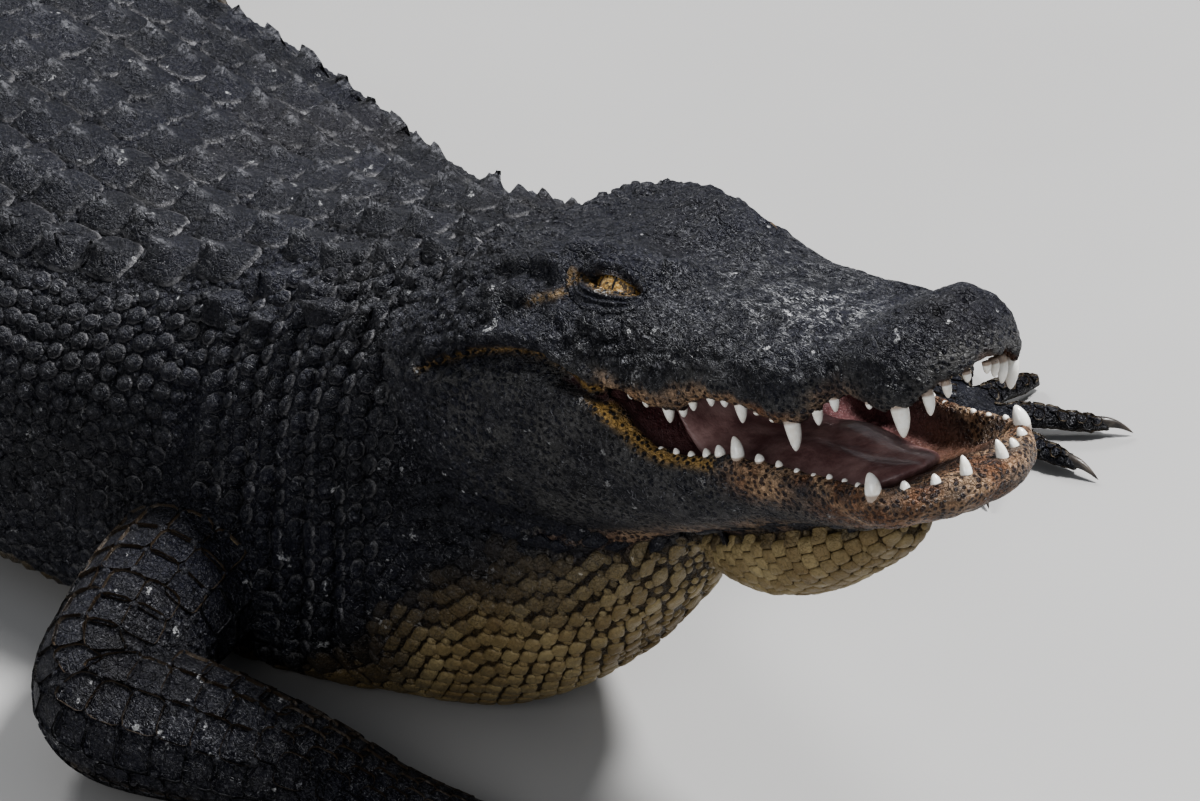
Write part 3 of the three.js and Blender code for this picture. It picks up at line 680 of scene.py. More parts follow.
def socket(points, side):
    """How deep the skin is pushed in under the lids: an oval pit about the eye's opening."""
    centre, out, ahead, up = eye_frame(side)
    local = points - centre
    near = np.hypot(local @ ahead / SOCKET_LONG, local @ up / SOCKET_HIGH)
    front = step(0, 10, local @ out)
    return 26.0 * step(0.94, 0.72, near) * front, -out


def skin_points():
    """The skin's points and four-sided faces, shaped from the voxels."""
    points, quads = merged(*flesh())
    edges = edge_list(quads)
    points = relaxed(points, edges, 0.5, 2)
    points = relaxed(points, edges, -0.32, 1)
    trunk = inside_body(points)
    crease = np.zeros(len(points))
    for limb in LIMBS.values():
        depth = inside_limb(points, limb["balls"][:5])
        crease = np.maximum(crease, np.exp(-(depth / CREASE_REACH) ** 2 - (trunk / CREASE_REACH) ** 2))
    head_join = bell(to_head(points, UPPER_TURN)[0], 1.12, 0.08)
    weight = np.clip(crease + 0.7 * head_join, 0, 1)[:, None] * 0.6
    points = relaxed(points, edges, weight, 14)
    normal = normals_of(points, quads)
    near_head = points[:, 0] > -90
    points[near_head] += normal[near_head] * head_relief(points[near_head], normal[near_head])[:, None]
    points[:, 2] = np.maximum(points[:, 2], SKIN_FLOOR)
    return points, quads


# Markings, shared by the skin and the coat
cream_line = curve((-200, 250), (-120, 215), (-80, 196), (-26, 165), (10, 128), (34, 96), (80, 46), (165, 24),
                   (300, 16), (1100, 22), (1300, 40), (1600, 22), (2930, 6))
jaw_border = curve((0.02, -0.085), (0.1, -0.1), (0.35, -0.153), (0.5, -0.184), (0.65, -0.22), (0.8, -0.256),
                   (0.957, -0.262), (1.063, -0.226), (1.2, -0.14))
cream_spread = curve((-200, 62), (60, 58), (150, 30), (2930, 30))


def off_body(points):
    """1 on a limb or a foot, outside the body and the head."""
    x, y, z = points[..., 0], points[..., 1], points[..., 2]
    away = (x < -150) | (np.abs(y) > 175) | ((z < 50) & (np.abs(y) > 70))
    return step(0.0, -8.0, inside_body(points)) * away


def markings(points, normal):
    """Shares from 0 to 1: the cream underside, the tan lips, the pink mouth, the yellow corner, the
    grain of pale net and dark dots about the jaws, and the scuffs on top of the snout."""
    x, y, z = to_head(points, UPPER_TURN)
    u, v, w = to_head(points, LOWER_TURN)
    ay, av = np.abs(y), np.abs(v)
    upper = z > JAW_PARTING(x)
    up, down = (normal @ UPPER_TURN)[..., 2], (normal @ LOWER_TURN)[..., 2]
    s = -points[..., 0]
    wave = 12 * ripple(points, 70, 11) + 7 * ripple(points, 22, 12)
    spread = cream_spread(s)
    cream = step(spread, -spread, points[..., 2] - cream_line(s) + wave)
    limb = off_body(points)
    cream = mix(cream, step(-0.35, -0.8, normal[..., 2]) * 0.9, limb)
    on_jaw = (u < 1.0 + 0.06 * (w < -0.2)) & (points[..., 0] > -70) & (limb < 0.5)
    under = step(0.008, -0.014, w - jaw_border(u) + 0.008 * ripple(points, 30, 13)) * step(-0.02, 0.06, u)
    under = under * mix(1.0, cream, step(0.62, 0.98, u))
    cream = np.where(on_jaw, np.where(upper, 0, under), cream)
    head = (points[..., 0] > -60) & (limb < 0.5)
    gap = upper_half(x) - ay
    palate = upper * (x < 0.8) * step(0.012, 0.024, gap) * step(0.25, -0.1, up)
    palate = palate * step(0.02, 0.0, z - palate_height(x))
    shelf = mix(0.075, 0.03, step(0.12, 0.3, u))
    trough = (~upper) * (u < 0.8) * step(shelf - 0.012, shelf + 0.014, jaw_half(u) - av)
    trough = trough * step(-0.4, 0.0, down) * step(0.1, 0.15, u)
    trough = trough * (w > rim_height(u) - trough_depth(u) - 0.03)
    mouth = np.clip(palate + trough, 0, 1) * head
    above_lip = z - lip_height(x)
    band = upper * step(0.046, 0.014, above_lip + 0.012 * ripple(points, 26, 14))
    lip = band * (0.3 + 0.7 * step(0.27, 0.34, x)) * step(0.08, 0.2, x) * step(0.7, 0.64, x)
    below_rim = rim_height(u) - w
    lower = ~upper
    tip = lower * step(0.34, 0.2, u) * step(0.115, 0.07, below_rim)
    patch = lower * bell(u, 0.385, 0.055) * bell(below_rim, 0.03, 0.034) * 1.2
    edge = lower * step(0.03, 0.01, below_rim) * step(0.45, 0.3, u)
    low_edge = lower * bell(w, jaw_border(u) + 0.022, 0.02) * step(0.25, 0.5, u) * step(0.98, 0.88, u)
    low_edge = low_edge * (1 - cream) * (av > 0.1) * 0.55
    lip = np.clip(np.maximum.reduce([lip, tip, patch, edge, low_edge]), 0, 1) * (1 - mouth) * head
    corner = ridge(x, z, CORNER_GROOVE[:3], 0.007) + 0.6 * ridge(x, z, CORNER_GROOVE, 0.005)
    tail = 0.3 * ridge(x, z, EYE_TAIL, 0.006)
    margin = lower * ridge(u, w, LIP_MARGIN, 0.009)
    yellow = np.clip(corner + margin + tail, 0, 1) * step(0.15, 0.2, ay) * (x < 1.1) * (1 - mouth) * head
    grain = np.maximum(upper * step(0.085, 0.03, above_lip), lower * (1 - cream) * step(1.12, 0.95, u)) * head
    scuff = upper * bell(x, 0.31, 0.1) * bell(y, -0.05, 0.06)
    scuff = scuff + 0.2 * upper * bell(x, 0.4, 0.2) * step(0, 0.5, up)
    scuff = scuff * head * step(-0.2, 0.3, up)
    return dict(cream=cream, lip=lip, mouth=mouth, yellow=yellow, grain=grain, scuff=np.clip(scuff, 0, 1))


# Shader tools
def math_node(operation, swapped=False):
    """A method that adds a Math node of the two values."""
    def run(one, two):
        pair = (two, one) if swapped else (one, two)
        return one.shop.node("ShaderNodeMath", dict(operation=operation), *pair)
    return run


class Value:
    """A shader socket that Python's operators work on, each adding a Math node."""
    __add__, __radd__ = math_node("ADD"), math_node("ADD", swapped=True)
    __sub__, __rsub__ = math_node("SUBTRACT"), math_node("SUBTRACT", swapped=True)
    __mul__, __rmul__ = math_node("MULTIPLY"), math_node("MULTIPLY", swapped=True)

    def __init__(self, paint_shop, out_socket):
        self.shop, self.socket = paint_shop, out_socket

    def clamped(self):
        return self.shop.node("ShaderNodeMath", dict(operation="MULTIPLY", use_clamp=True), self, 1.0)


class PaintShop:
    """One material's nodes."""

    def __init__(self, name):
        self.material = bpy.data.materials.new(name)
        self.material.use_nodes = True
        self.tree = self.material.node_tree
        self.shader = self.tree.nodes["Principled BSDF"]
        self.object_place = self.node("ShaderNodeTexCoord", {}, output="Object")

    def join(self, slot, value):
        """Links a value to an input, or sets the input to a number or a colour."""
        if isinstance(value, Value):
            self.tree.links.new(value.socket, slot)
        else:
            slot.default_value = value

    def node(self, kind, settings, *inputs, output=0, **named):
        made = self.tree.nodes.new(kind)
        for key, value in settings.items():
            setattr(made, key, value)
        for key, value in list(enumerate(inputs)) + list(named.items()):
            self.join(made.inputs[key], value)
        return Value(self, made.outputs[output])

    def noise(self, scale, detail=3.0, roughness=0.55, distortion=0.0, spot=None):
        return self.node("ShaderNodeTexNoise", {}, Vector=spot or self.object_place, Scale=scale,
                         Detail=detail, Roughness=roughness, Distortion=distortion)

    def cells(self, scale, feature="F1", randomness=1.0):
        return self.node("ShaderNodeTexVoronoi", dict(feature=feature), Vector=self.object_place,
                         Scale=scale, Randomness=randomness, output="Distance")

    def range(self, value, low, high, to_low=0.0, to_high=1.0):
        return self.node("ShaderNodeMapRange", dict(interpolation_type="SMOOTHSTEP"), value, low, high,
                         to_low, to_high)

    def blend(self, share, one, two):
        made = self.tree.nodes.new("ShaderNodeMix")
        made.data_type = "RGBA"
        self.join(made.inputs[0], share)
        for slot, colour in ((6, one), (7, two)):
            self.join(made.inputs[slot], colour if isinstance(colour, Value) else (*colour, 1))
        return Value(self, made.outputs[2])

    def stretched(self, scale, turn):
        return self.node("ShaderNodeMapping", {}, Vector=self.object_place, Scale=scale, Rotation=turn)

    def mask(self, name):
        return self.node("ShaderNodeAttribute", dict(attribute_name=name), output="Fac")

    def feed(self, **sockets):
        for key, value in sockets.items():
            self.join(self.shader.inputs[key.replace("_", " ")], value)

    def bump(self, height, distance, strength):
        return self.node("ShaderNodeBump", {}, Height=height, Distance=distance, Strength=strength)


def hide_material(name, coat):
    """Blue-black hide under fine pale lines, on which the markings are laid. The lines are the thin
    places where a noise crosses its middle value. Its tone carries painted highlight where a middling
    noise rises and painted shade where it dips, as the bump does; on the scales, painted shade darkens
    each plate's foot and painted highlight, with wear, pales its top."""
    shop = PaintShop(name)
    broad = shop.noise(9.0, 4)
    fine = shop.noise(70.0, 4, 0.6)
    grit = shop.noise(320.0, 3, 0.6)
    cream = shop.mask("cream")

    def lines(scale, width, stretch, turn):
        cloud = shop.noise(scale, 3, 0.55, 0.9, shop.stretched(stretch, turn))
        return shop.range(shop.node("ShaderNodeMath", dict(operation="ABSOLUTE"), cloud - 0.5), width, 0.0)

    hairs = lines(80.0, 0.015, (1.0, 1.5, 0.6), (0.3, 0.2, 0.5))
    threads = lines(150.0, 0.022, (0.7, 1.5, 1.0), (0.2, 0.4, -0.5))
    gashes = lines(130.0, 0.034, (0.28, 2.4, 1.0), (0.1, 0.3, 0.15))
    patches = shop.range(shop.noise(8.0, 3), 0.4, 0.64)
    broken = shop.range(grit, 0.38, 0.6)
    middling = shop.noise(170.0, 3, 0.6, 0.6)
    dark = shop.blend(shop.range(broad, 0.3, 0.7), (0.0024, 0.0027, 0.0058), (0.0095, 0.0102, 0.019))
    # Painted highlight and painted shade: the hide is lighter where the middling noise rises and darker where
    # it dips, and the bump below rises and dips with the same noise.
    dark = shop.blend(shop.range(middling, 0.48, 0.72) * 0.5, dark, (0.027, 0.027, 0.036))
    dark = shop.blend(shop.range(middling, 0.46, 0.3) * 0.8, dark, (0.0015, 0.0016, 0.0025))
    dark = shop.blend(shop.range(shop.noise(4.2, 3), 0.5, 0.72) * 0.3, dark, (0.016, 0.012, 0.009))
    wear = ((hairs + threads * 0.9) * (0.4 + patches * 0.6) * broken).clamped()
    flakes = shop.range(shop.noise(62.0, 2, 0.5), 0.69, 0.72) * shop.range(grit, 0.45, 0.55)
    colour = shop.blend(wear * 0.9, dark, (0.33, 0.33, 0.35))
    colour = shop.blend(flakes * 0.7, colour, (0.5, 0.5, 0.5))
    speck = shop.cells(235.0)
    net = shop.range(speck + (fine - 0.5) * 0.35, 0.3, 0.52)
    net_share = shop.range(shop.noise(30.0, 3), 0.34, 0.6)
    tan = shop.blend(shop.range(shop.noise(26.0, 3), 0.38, 0.62), (0.19, 0.095, 0.055), (0.52, 0.36, 0.23))
    pale = shop.blend(shop.range(broad, 0.3, 0.7), (0.15, 0.11, 0.05), (0.29, 0.232, 0.122))
    pale = shop.blend(shop.range(fine, 0.5, 0.8) * 0.5, pale, (0.13, 0.08, 0.035))
    pale = shop.blend(shop.range(grit, 0.62, 0.8) * 0.5, pale, (0.09, 0.06, 0.035))
    gold = shop.blend(net, (0.02, 0.015, 0.01), (0.5, 0.31, 0.1))
    if coat:
        crown_share, tone, wear_and_highlight = (shop.mask(key) for key in ("crown", "tone", "wear_and_highlight"))
        pale = shop.blend(tone * 0.6, pale, (0.12, 0.08, 0.034))
        # Painted shade: the pale plates darken towards their feet, in the gaps between them.
        pale = shop.blend(shop.range(crown_share, 0.34, 0.08), pale, (0.035, 0.024, 0.015))
        rim = shop.range(crown_share, 0.62, 0.26) * shop.range(crown_share, 0.0, 0.14)
        worn_rim = (rim * wear_and_highlight * shop.range(fine, 0.36, 0.56)).clamped()
        colour = shop.blend(worn_rim * 0.65, colour, (0.27, 0.265, 0.27))
        colour = shop.blend(tone * 0.55, colour, (0.006, 0.0065, 0.01))
        # Painted highlight with wear: the tops of the plates and their keels are paler, more so where the
        # wear and highlight mask is high.
        crest = shop.range(crown_share, 0.84, 0.97) * wear_and_highlight * shop.range(middling, 0.4, 0.62)
        colour = shop.blend(crest.clamped() * 0.6, colour, (0.16, 0.16, 0.17))
        # Painted shade: each plate's foot, where it dips into the skin between plates, is near black.
        colour = shop.blend(shop.range(crown_share, 0.2, 0.02), colour, (0.003, 0.003, 0.004))
        colour = shop.blend(cream, colour, pale)
        pits = shop.range(shop.cells(190.0, "DISTANCE_TO_EDGE"), 0.0, 0.14)
        height = grit * 0.35 + fine * 1.5 + middling * 0.6 + pits * 0.2 + (hairs + threads) * 0.3
        normal = shop.bump(height * (1.0 - cream * 0.7), 0.0036, 1.0)
        shop.feed(Roughness=shop.range(fine, 0.3, 0.7, 0.36, 0.58))
    else:
        lip, mouth, yellow, grain, scuff = (
            shop.mask(key) for key in ("lip", "mouth", "yellow", "grain", "scuff"))
        grey_net = (net * grain * (0.25 + net_share * 0.75)).clamped()
        colour = shop.blend(grey_net * 0.6, colour, (0.11, 0.107, 0.102))
        lip_share = (lip * (0.3 + 0.9 * net_share)).clamped()
        colour = shop.blend(lip_share * net, colour, tan)
        colour = shop.blend((lip_share * 0.35).clamped(), colour, (0.14, 0.07, 0.035))
        colour = shop.blend(yellow * 0.75, colour, gold)
        scuffs = ((gashes + threads * 0.7) * scuff * shop.range(fine, 0.42, 0.56)).clamped()
        colour = shop.blend(scuffs, colour, (0.72, 0.72, 0.73))
        seams = shop.range(shop.cells(120.0, "DISTANCE_TO_EDGE"), 0.0, 0.09)
        colour = shop.blend(cream, colour, shop.blend(seams, (0.012, 0.009, 0.006), (0.075, 0.052, 0.024)))
        veins = shop.range(shop.noise(28.0, 4, 0.6, 0.8), 0.35, 0.7)
        pink = shop.blend(veins, (0.07, 0.028, 0.03), (0.17, 0.085, 0.085))
        along_mouth = shop.node("ShaderNodeSeparateXYZ", {}, shop.object_place)
        pink = shop.blend(shop.range(along_mouth, 1.5, 1.63) * 0.8, pink, (0.11, 0.065, 0.04))
        colour = shop.blend(mouth, colour, pink)
        pits = shop.range(shop.cells(210.0, "DISTANCE_TO_EDGE"), 0.0, 0.12)
        crackle = shop.range(shop.cells(75.0, "DISTANCE_TO_EDGE", randomness=0.9), 0.0, 0.06)
        height = pits * 0.3 + crackle * 0.4 + grit * 0.35 + fine * 1.8 + middling * 0.7
        height = height + (1.0 - net) * grain * 0.6 + (hairs + threads) * 0.3
        height = height * (1.0 - mouth * 0.8)
        normal = shop.bump(height, 0.0042, 1.0)
        shop.feed(Roughness=shop.range(fine, 0.3, 0.7, 0.36, 0.58) - mouth * 0.15)
    shop.feed(Base_Color=colour, Normal=normal, Specular_IOR_Level=0.3)
    return shop.material


def plain_material(name, low, high, scale, roughness, bump_size, coat):
    """Two tones mixed by fine noise, with a bump of the same grain."""
    shop = PaintShop(name)
    cloud = shop.noise(scale, 4, 0.6)
    colour = shop.blend(shop.range(cloud, 0.3, 0.7), low, high)
    shop.feed(Base_Color=colour, Roughness=roughness, Coat_Weight=coat, Coat_Roughness=0.08,
              Normal=shop.bump(shop.noise(scale * 6, 3), bump_size, 0.5))
    return shop.material


def tooth_material():
    """Ivory enamel, browner and rougher towards the gum, where the root mask is full."""
    shop = PaintShop("tooth")
    root = shop.mask("root")
    stain = shop.noise(160.0, 4, 0.6)
    colour = shop.blend(shop.range(stain, 0.35, 0.75) * 0.6, (0.78, 0.77, 0.73), (0.58, 0.52, 0.42))
    colour = shop.blend(shop.range(root, 0.5, 1.0) * 0.75, colour, (0.2, 0.12, 0.07))
    shop.feed(Base_Color=colour, Roughness=shop.range(stain, 0.3, 0.7, 0.22, 0.4), Coat_Weight=0.35,
              Coat_Roughness=0.12, Normal=shop.bump(shop.noise(260.0, 3), 0.0004, 0.5))
    return shop.material


def eye_material():
    """A golden iris with black blotches and a slit pupil, from the eye's own two masks."""
    shop = PaintShop("eye")
    iris, slit = shop.mask("iris"), shop.mask("slit")
    blotch = shop.range(shop.noise(230.0, 4, 0.6), 0.46, 0.58)
    flecks = shop.range(shop.noise(520.0, 3), 0.4, 0.65)
    gold = shop.blend(flecks, (0.2, 0.11, 0.03), (0.45, 0.31, 0.12))
    gold = shop.blend(blotch * 0.95, gold, (0.016, 0.01, 0.007))
    white = shop.blend(blotch * 0.9, (0.2, 0.12, 0.04), (0.015, 0.011, 0.009))
    colour = shop.blend(iris, white, gold)
    colour = shop.blend(slit, colour, (0.004, 0.003, 0.003))
    shop.feed(Base_Color=colour, Roughness=0.16, Coat_Weight=0.8, Coat_Roughness=0.03,
              Normal=shop.bump(flecks, 0.0003, 0.2))
    return shop.material


skin_finish = hide_material("hide_skin", False)
coat_finish = hide_material("hide_scales", True)
tooth_finish = tooth_material()
eye_finish = eye_material()
tongue_finish = plain_material("tongue", (0.17, 0.085, 0.085), (0.42, 0.27, 0.255), scale=38.0,
                               roughness=0.38, bump_size=0.002, coat=0.25)
claw_finish = plain_material("claw", (0.016, 0.013, 0.012), (0.075, 0.062, 0.05), scale=90.0, roughness=0.38,
                             bump_size=0.0005, coat=0.1)


# The lids: rings from the eye's opening out to the skin, which they meet a little below it
LID_REACH, LID_CLEARANCE = 1.14, 0.9


def whole_skin_height(centre, out, ahead, up, across, high_up):
    """How far out the skin stands over the eye's middle, at places in the plane of the eye's opening,
    before the socket is pushed into it."""
    local = whole_skin - centre
    near = (np.linalg.norm(local, axis=1) < 80) & (local @ out > -5)
    local = local[near]
    gap = (across.reshape(-1, 1) - local @ ahead) ** 2 + (high_up.reshape(-1, 1) - local @ up) ** 2
    weight = np.exp(-gap / 3.5 ** 2) + 1e-12
    return ((weight @ (local @ out)) / weight.sum(1)).reshape(across.shape)


def lids(side):
    centre, out, ahead, up = eye_frame(side)
    around, rings = 96, 26
    a = circle(around)[None, :]
    r = np.linspace(0, 1, rings)[:, None]
    forward, rise = np.cos(a), np.sin(a)
    long = np.where(forward > 0, 24.5, 23.5)
    high = np.where(rise > 0, 5.4, 6.6)
    x0 = forward * long + 1.5
    y0 = power(rise, 1.4) * high + 0.4 - 0.8 * forward
    held = EYE_RADIUS + LID_CLEARANCE
    depth = np.sqrt(np.clip(held ** 2 - x0 ** 2 - y0 ** 2, 60, None))
    inner = centre + ahead * x0[..., None] + up * y0[..., None] + out * depth[..., None]
    across = mix(x0, forward * SOCKET_LONG * LID_REACH, r)
    high_up = mix(y0, rise * SOCKET_HIGH * LID_REACH, r)
    upper_lid = step(-0.25, 0.45, rise)
    lift = 1.0 - 2.2 * step(0.84, 1.0, r) + 3.5 * upper_lid * step(0.05, 0.3, r) * step(0.75, 0.4, r)
    outward = whole_skin_height(centre, out, ahead, up, across, high_up) + lift
    outer = centre + ahead * across[..., None] + up * high_up[..., None] + out * outward[..., None]
    away = outer - centre
    far_off = np.linalg.norm(away, axis=-1, keepdims=True)
    outer = centre + away * np.maximum(1, (held + (4.0 * step(0, 0.3, r))[..., None]) / far_off)
    points = mix(inner, outer, step(0.0, 0.34, r)[..., None])
    wrinkle = 0.9 * np.sin(r * 26 + 1.5 * np.sin(3 * a)) * step(0.08, 0.2, r) * step(0.8, 0.55, r)
    roll = 1.6 * bell(r, 0.1, 0.07) - 2.5 * step(0.05, 0.0, r)
    points = points + out * (wrinkle * (1.2 - 0.5 * upper_lid) + roll)[..., None]
    points = points - up * (2.6 * upper_lid * bell(r, 0.16, 0.12))[..., None]
    faces = grid_faces(rings, around)
    if side > 0:
        faces = faces[:, ::-1]
    gold = step(0.3, 0.06, r) * (1 - 0.85 * upper_lid)
    gold = gold + 0.4 * step(-0.86, -0.98, forward) * step(0.35, 0.0, rise)
    return points.reshape(-1, 3), faces, gold.ravel() * 0.8


whole_skin, skin_quads = skin_points()
skin_verts = whole_skin.copy()
for lid_side in (-1, 1):
    socket_depth, socket_way = socket(whole_skin, lid_side)
    skin_verts += socket_depth[:, None] * socket_way
skin_normal = normals_of(skin_verts, skin_quads)
marks = markings(skin_verts, skin_normal)
all_verts, all_faces = [skin_verts], [skin_quads]
start = len(skin_verts)
for lid_side in (-1, 1):
    lid_verts, lid_faces, lid_gold = lids(lid_side)
    all_verts.append(lid_verts)
    all_faces.append(lid_faces + start)
    start += len(lid_verts)
    for mark_name in marks:
        extra = lid_gold if mark_name == "yellow" else np.zeros(len(lid_verts))
        marks[mark_name] = np.concatenate([marks[mark_name], extra])
skin = make_mesh("skin", place(np.vstack(all_verts)), np.vstack(all_faces).tolist(), skin_finish)
for mark_name, mark_values in marks.items():
    paint(skin, mark_name, mark_values)
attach(skin, "root")
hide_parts("head", "lower_jaw", "neck", "trunk_front", "trunk_rear",
            *[f"tail_{i}" for i in range(1, 6)],
            *[f"{name}_{part}" for name in LIMBS for part in ("upper", "lower", "foot")])


# Eyes
def eyeball(side, name):
    """A ball with a shallow bulge in front, masked by the angle from its outward axis."""
    centre, out, ahead, _ = eye_frame(side)
    look = unit(out + 0.22 * ahead)
    across = unit(ahead - look * (ahead @ look))
    above = np.cross(look, across)
    t = np.concatenate([np.linspace(0, 1.0, 44)[1:], np.linspace(1.05, np.pi, 20)[:-1]])[:, None]
    a = circle(72)[None, :]
    radius = EYE_RADIUS * (1 + 0.035 * bell(t, 0, 0.5))
    way = (np.cos(t)[..., None] * look + (np.sin(t) * np.cos(a))[..., None] * across
           + (np.sin(t) * np.sin(a))[..., None] * above)
    verts, faces = capped(centre + way * radius[..., None])
    local = unit(verts - centre)
    angle = np.arccos(np.clip(local @ look, -1, 1))
    narrow, tall = (local @ across) / 0.045, (local @ above) / 0.33
    ball = make_mesh(name, place(verts), faces, eye_finish)
    paint(ball, "iris", step(0.5, 0.44, angle))
    paint(ball, "slit", step(1.15, 0.85, np.hypot(narrow, tall)) * (angle < 0.6))
    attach(ball, "root")
    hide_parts(name)


eyeball(-1, "eye_right")
eyeball(1, "eye_left")

# Teeth: x, |y|, length and radius in skull lengths
UPPER_TEETH = [
    (0.028, 0.022, 0.014, 0.008), (0.046, 0.052, 0.022, 0.009), (0.062, 0.08, 0.034, 0.011),
    (0.088, 0.12, 0.05, 0.016), (0.142, 0.134, 0.01, 0.007), (0.222, 0.138, 0.022, 0.009),
    (0.258, 0.148, 0.028, 0.01), (0.31, 0.162, 0.048, 0.0145), (0.35, 0.166, 0.006, 0.007),
    (0.385, 0.167, 0.006, 0.007), (0.424, 0.167, 0.034, 0.011), (0.458, 0.17, 0.014, 0.008),
    (0.488, 0.173, 0.016, 0.008), (0.528, 0.18, 0.016, 0.008), (0.552, 0.184, 0.018, 0.009),
    (0.582, 0.19, 0.03, 0.011), (0.622, 0.2, 0.014, 0.008), (0.65, 0.206, 0.01, 0.007)]
LOWER_TEETH = [
    (0.056, 0.04, 0.032, 0.0115), (0.078, 0.086, 0.016, 0.01), (0.104, 0.128, 0.014, 0.01),
    (0.14, 0.163, 0.031, 0.0155), (0.176, 0.162, 0.006, 0.0062), (0.212, 0.158, 0.004, 0.0055),
    (0.248, 0.158, 0.006, 0.006), (0.284, 0.16, 0.003, 0.005), (0.32, 0.163, 0.005, 0.006),
    (0.356, 0.168, 0.008, 0.007), (0.394, 0.175, 0.01, 0.009), (0.437, 0.183, 0.03, 0.0125),
    (0.474, 0.189, 0.015, 0.01), (0.502, 0.194, 0.011, 0.008), (0.534, 0.2, 0.007, 0.007),
    (0.564, 0.206, 0.008, 0.0065), (0.594, 0.212, 0.004, 0.006)]


TOOTH_AROUND = 12


def tooth(turn, row, side, gum, way):
    """A blunt cone that leans back a little: its radius falls as one less t squared, to a round tip."""
    x, across, length, radius = row
    t = np.concatenate([np.linspace(-0.45, 0.85, 9), [0.93, 0.98, 0.998]])[:, None]
    a = circle(TOOTH_AROUND)[None, :]
    shown = np.clip(t, 0, 1)
    girth = radius * 0.92 * np.sqrt(np.clip(1 - shown ** 1.75, 0.0, 1)) ** 1.12
    lean = 0.2 * shown ** 2 * length
    y = side * (across - 0.08 * length * shown) + girth * np.sin(a)
    points = from_head(x + lean + girth * np.cos(a), y, gum + way * length * t + 0 * a, turn)
    verts, faces = capped(points)
    if way < 0:
        faces = [face[::-1] for face in faces]
    root = np.concatenate([np.repeat(1 - np.clip(t[:, 0] * 4 + 0.4, 0, 1), TOOTH_AROUND), [1, 0]])
    return verts, faces, root


def tooth_rows(name, turn, rows, gum, way):
    parts, roots = [], []
    for side in (-1, 1):
        for row in rows:
            verts, faces, root = tooth(turn, row, side, gum(row[0]), way)
            parts.append((verts, faces))
            roots.append(root)
    piece = make_mesh(name, *placed(gather(parts)), tooth_finish)
    paint(piece, "root", np.concatenate(roots))
    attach(piece, "root")


tooth_rows("teeth_upper", UPPER_TURN, UPPER_TEETH, lambda x: lip_height(x) + 0.004, -1)
tooth_rows("teeth_lower", LOWER_TURN, LOWER_TEETH, lambda x: rim_height(x) - 0.004, 1)


def tongue_surface(t, a):
    """A flat loaf on the floor of the mouth with a shallow furrow down its middle."""
    ends = np.sqrt(np.clip(1 - (1 - np.clip(t / 0.12, 0, 1)) ** 2, 0.0004, 1))
    half = 0.118 * np.sin(np.pi * (0.1 + 0.55 * t)) ** 0.6 * ends
    x = 0.2 + 0.5 * t
    floor = rim_height(x) - trough_depth(x)
    thick = 0.034 * np.sin(np.pi * (0.08 + 0.8 * t)) ** 0.5 * ends
    furrow = -0.006 * bell(np.cos(a), 0, 0.16) * (np.sin(a) > 0) * ends
    return from_head(x, half * power(np.cos(a), 0.85), floor + 0.008 + thick * np.sin(a) + furrow, LOWER_TURN)


tongue = make_mesh("tongue", *placed(lofted(tongue_surface, np.linspace(0, 1, 60), 64)), tongue_finish)
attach(tongue, "root")
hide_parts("tongue")


def claw_parts():
    """Each claw is a ring that shrinks along a low arc, with its underside flatter than its back."""
    parts = []
    for limb in LIMBS.values():
        palm, radius = np.array(limb["palm"], float), limb["radius"]
        for tip in limb["tips"][:CLAWED]:
            end = np.array([*tip, 10.0])
            ahead = unit((end - palm) * np.array([1, 1, 0]))
            side = np.array([-ahead[1], ahead[0], 0])
            t = np.linspace(0, 1, 22)[:, None]
            a = circle(18)[None, :]
            girth = radius * 0.52 * (1 - t) ** 0.75 + 0.12
            spot = end + ahead * (radius * 2.5 * (t - 0.22))[..., None]
            high = radius * 0.86 + radius * 0.2 * np.sin(np.pi * t) - radius * 0.62 * t * t
            up = np.sin(a) * np.where(np.sin(a) > 0, 1.1, 0.8)
            points = spot + side * (girth * 0.8 * np.cos(a))[..., None]
            points = np.concatenate([points[..., :2], np.maximum(high + girth * up, 0.3)[..., None]], -1)
            parts.append(capped(points))
    return gather(parts)


claws = make_mesh("claws", *placed(claw_parts()), claw_finish)
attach(claws, "root")
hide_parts(*[f"claw_{name}_{i}" for name in LIMBS for i in range(1, CLAWED + 1)])


# Scales: templates in a unit square, laid on a surface of two parameters
def disc(rings, around, square):
    """A plate's outline and rings: circles squared by a power, with their share of the plate's height."""
    a = circle(around) + (0 if around == 16 else np.pi / around)
    spots, faces = [(0.0, 0.0, 1.0)], []
    for k, (r, h) in enumerate(rings):
        x = power(np.cos(a), square) * r
        y = power(np.sin(a), square) * r
        spots += list(zip(x, y, np.full(around, h)))
        j, n = np.arange(around), (np.arange(around) + 1) % around
        if k == 0:
            faces += np.stack([np.zeros(around, int), 1 + j, 1 + n], -1).tolist()
        else:
            low, high = 1 + (k - 1) * around, 1 + k * around
            faces += np.stack([low + j, high + j, high + n, low + n], -1).tolist()
    return np.array(spots), faces


PEBBLE = disc([(0.55, 0.86), (0.86, 0.4), (1.0, -0.9)], 8, 1.0)
PLATE = disc([(0.55, 0.97), (0.88, 0.75), (0.97, 0.25), (1.0, -0.9)], 12, 0.5)
SHIELD = disc([(0.22, 1.0), (0.5, 0.97), (0.8, 0.85), (0.94, 0.45), (1.0, -0.9)], 16, 0.55)
GRANULE = disc([(0.62, 0.8), (1.0, -0.9)], 7, 1.0)

skin_shape = BVHTree.FromPolygons(skin_verts.tolist(), skin_quads.tolist())


def settled(points, normal, depth):
    """The points moved along the normal to the skin that is really there, and which of them found it
    within the depth."""
    flat, ways = points.reshape(-1, 3), normal.reshape(-1, 3)
    starts = flat + ways * depth
    rays = zip(starts.tolist(), (-ways).tolist())
    hits = [skin_shape.ray_cast(start, way, 2 * depth)[0] for start, way in rays]
    found = np.array([hit is not None for hit in hits])
    moved = np.array([hit if hit is not None else spot for hit, spot in zip(hits, flat)])
    return moved.reshape(points.shape), found.reshape(points.shape[:-1])


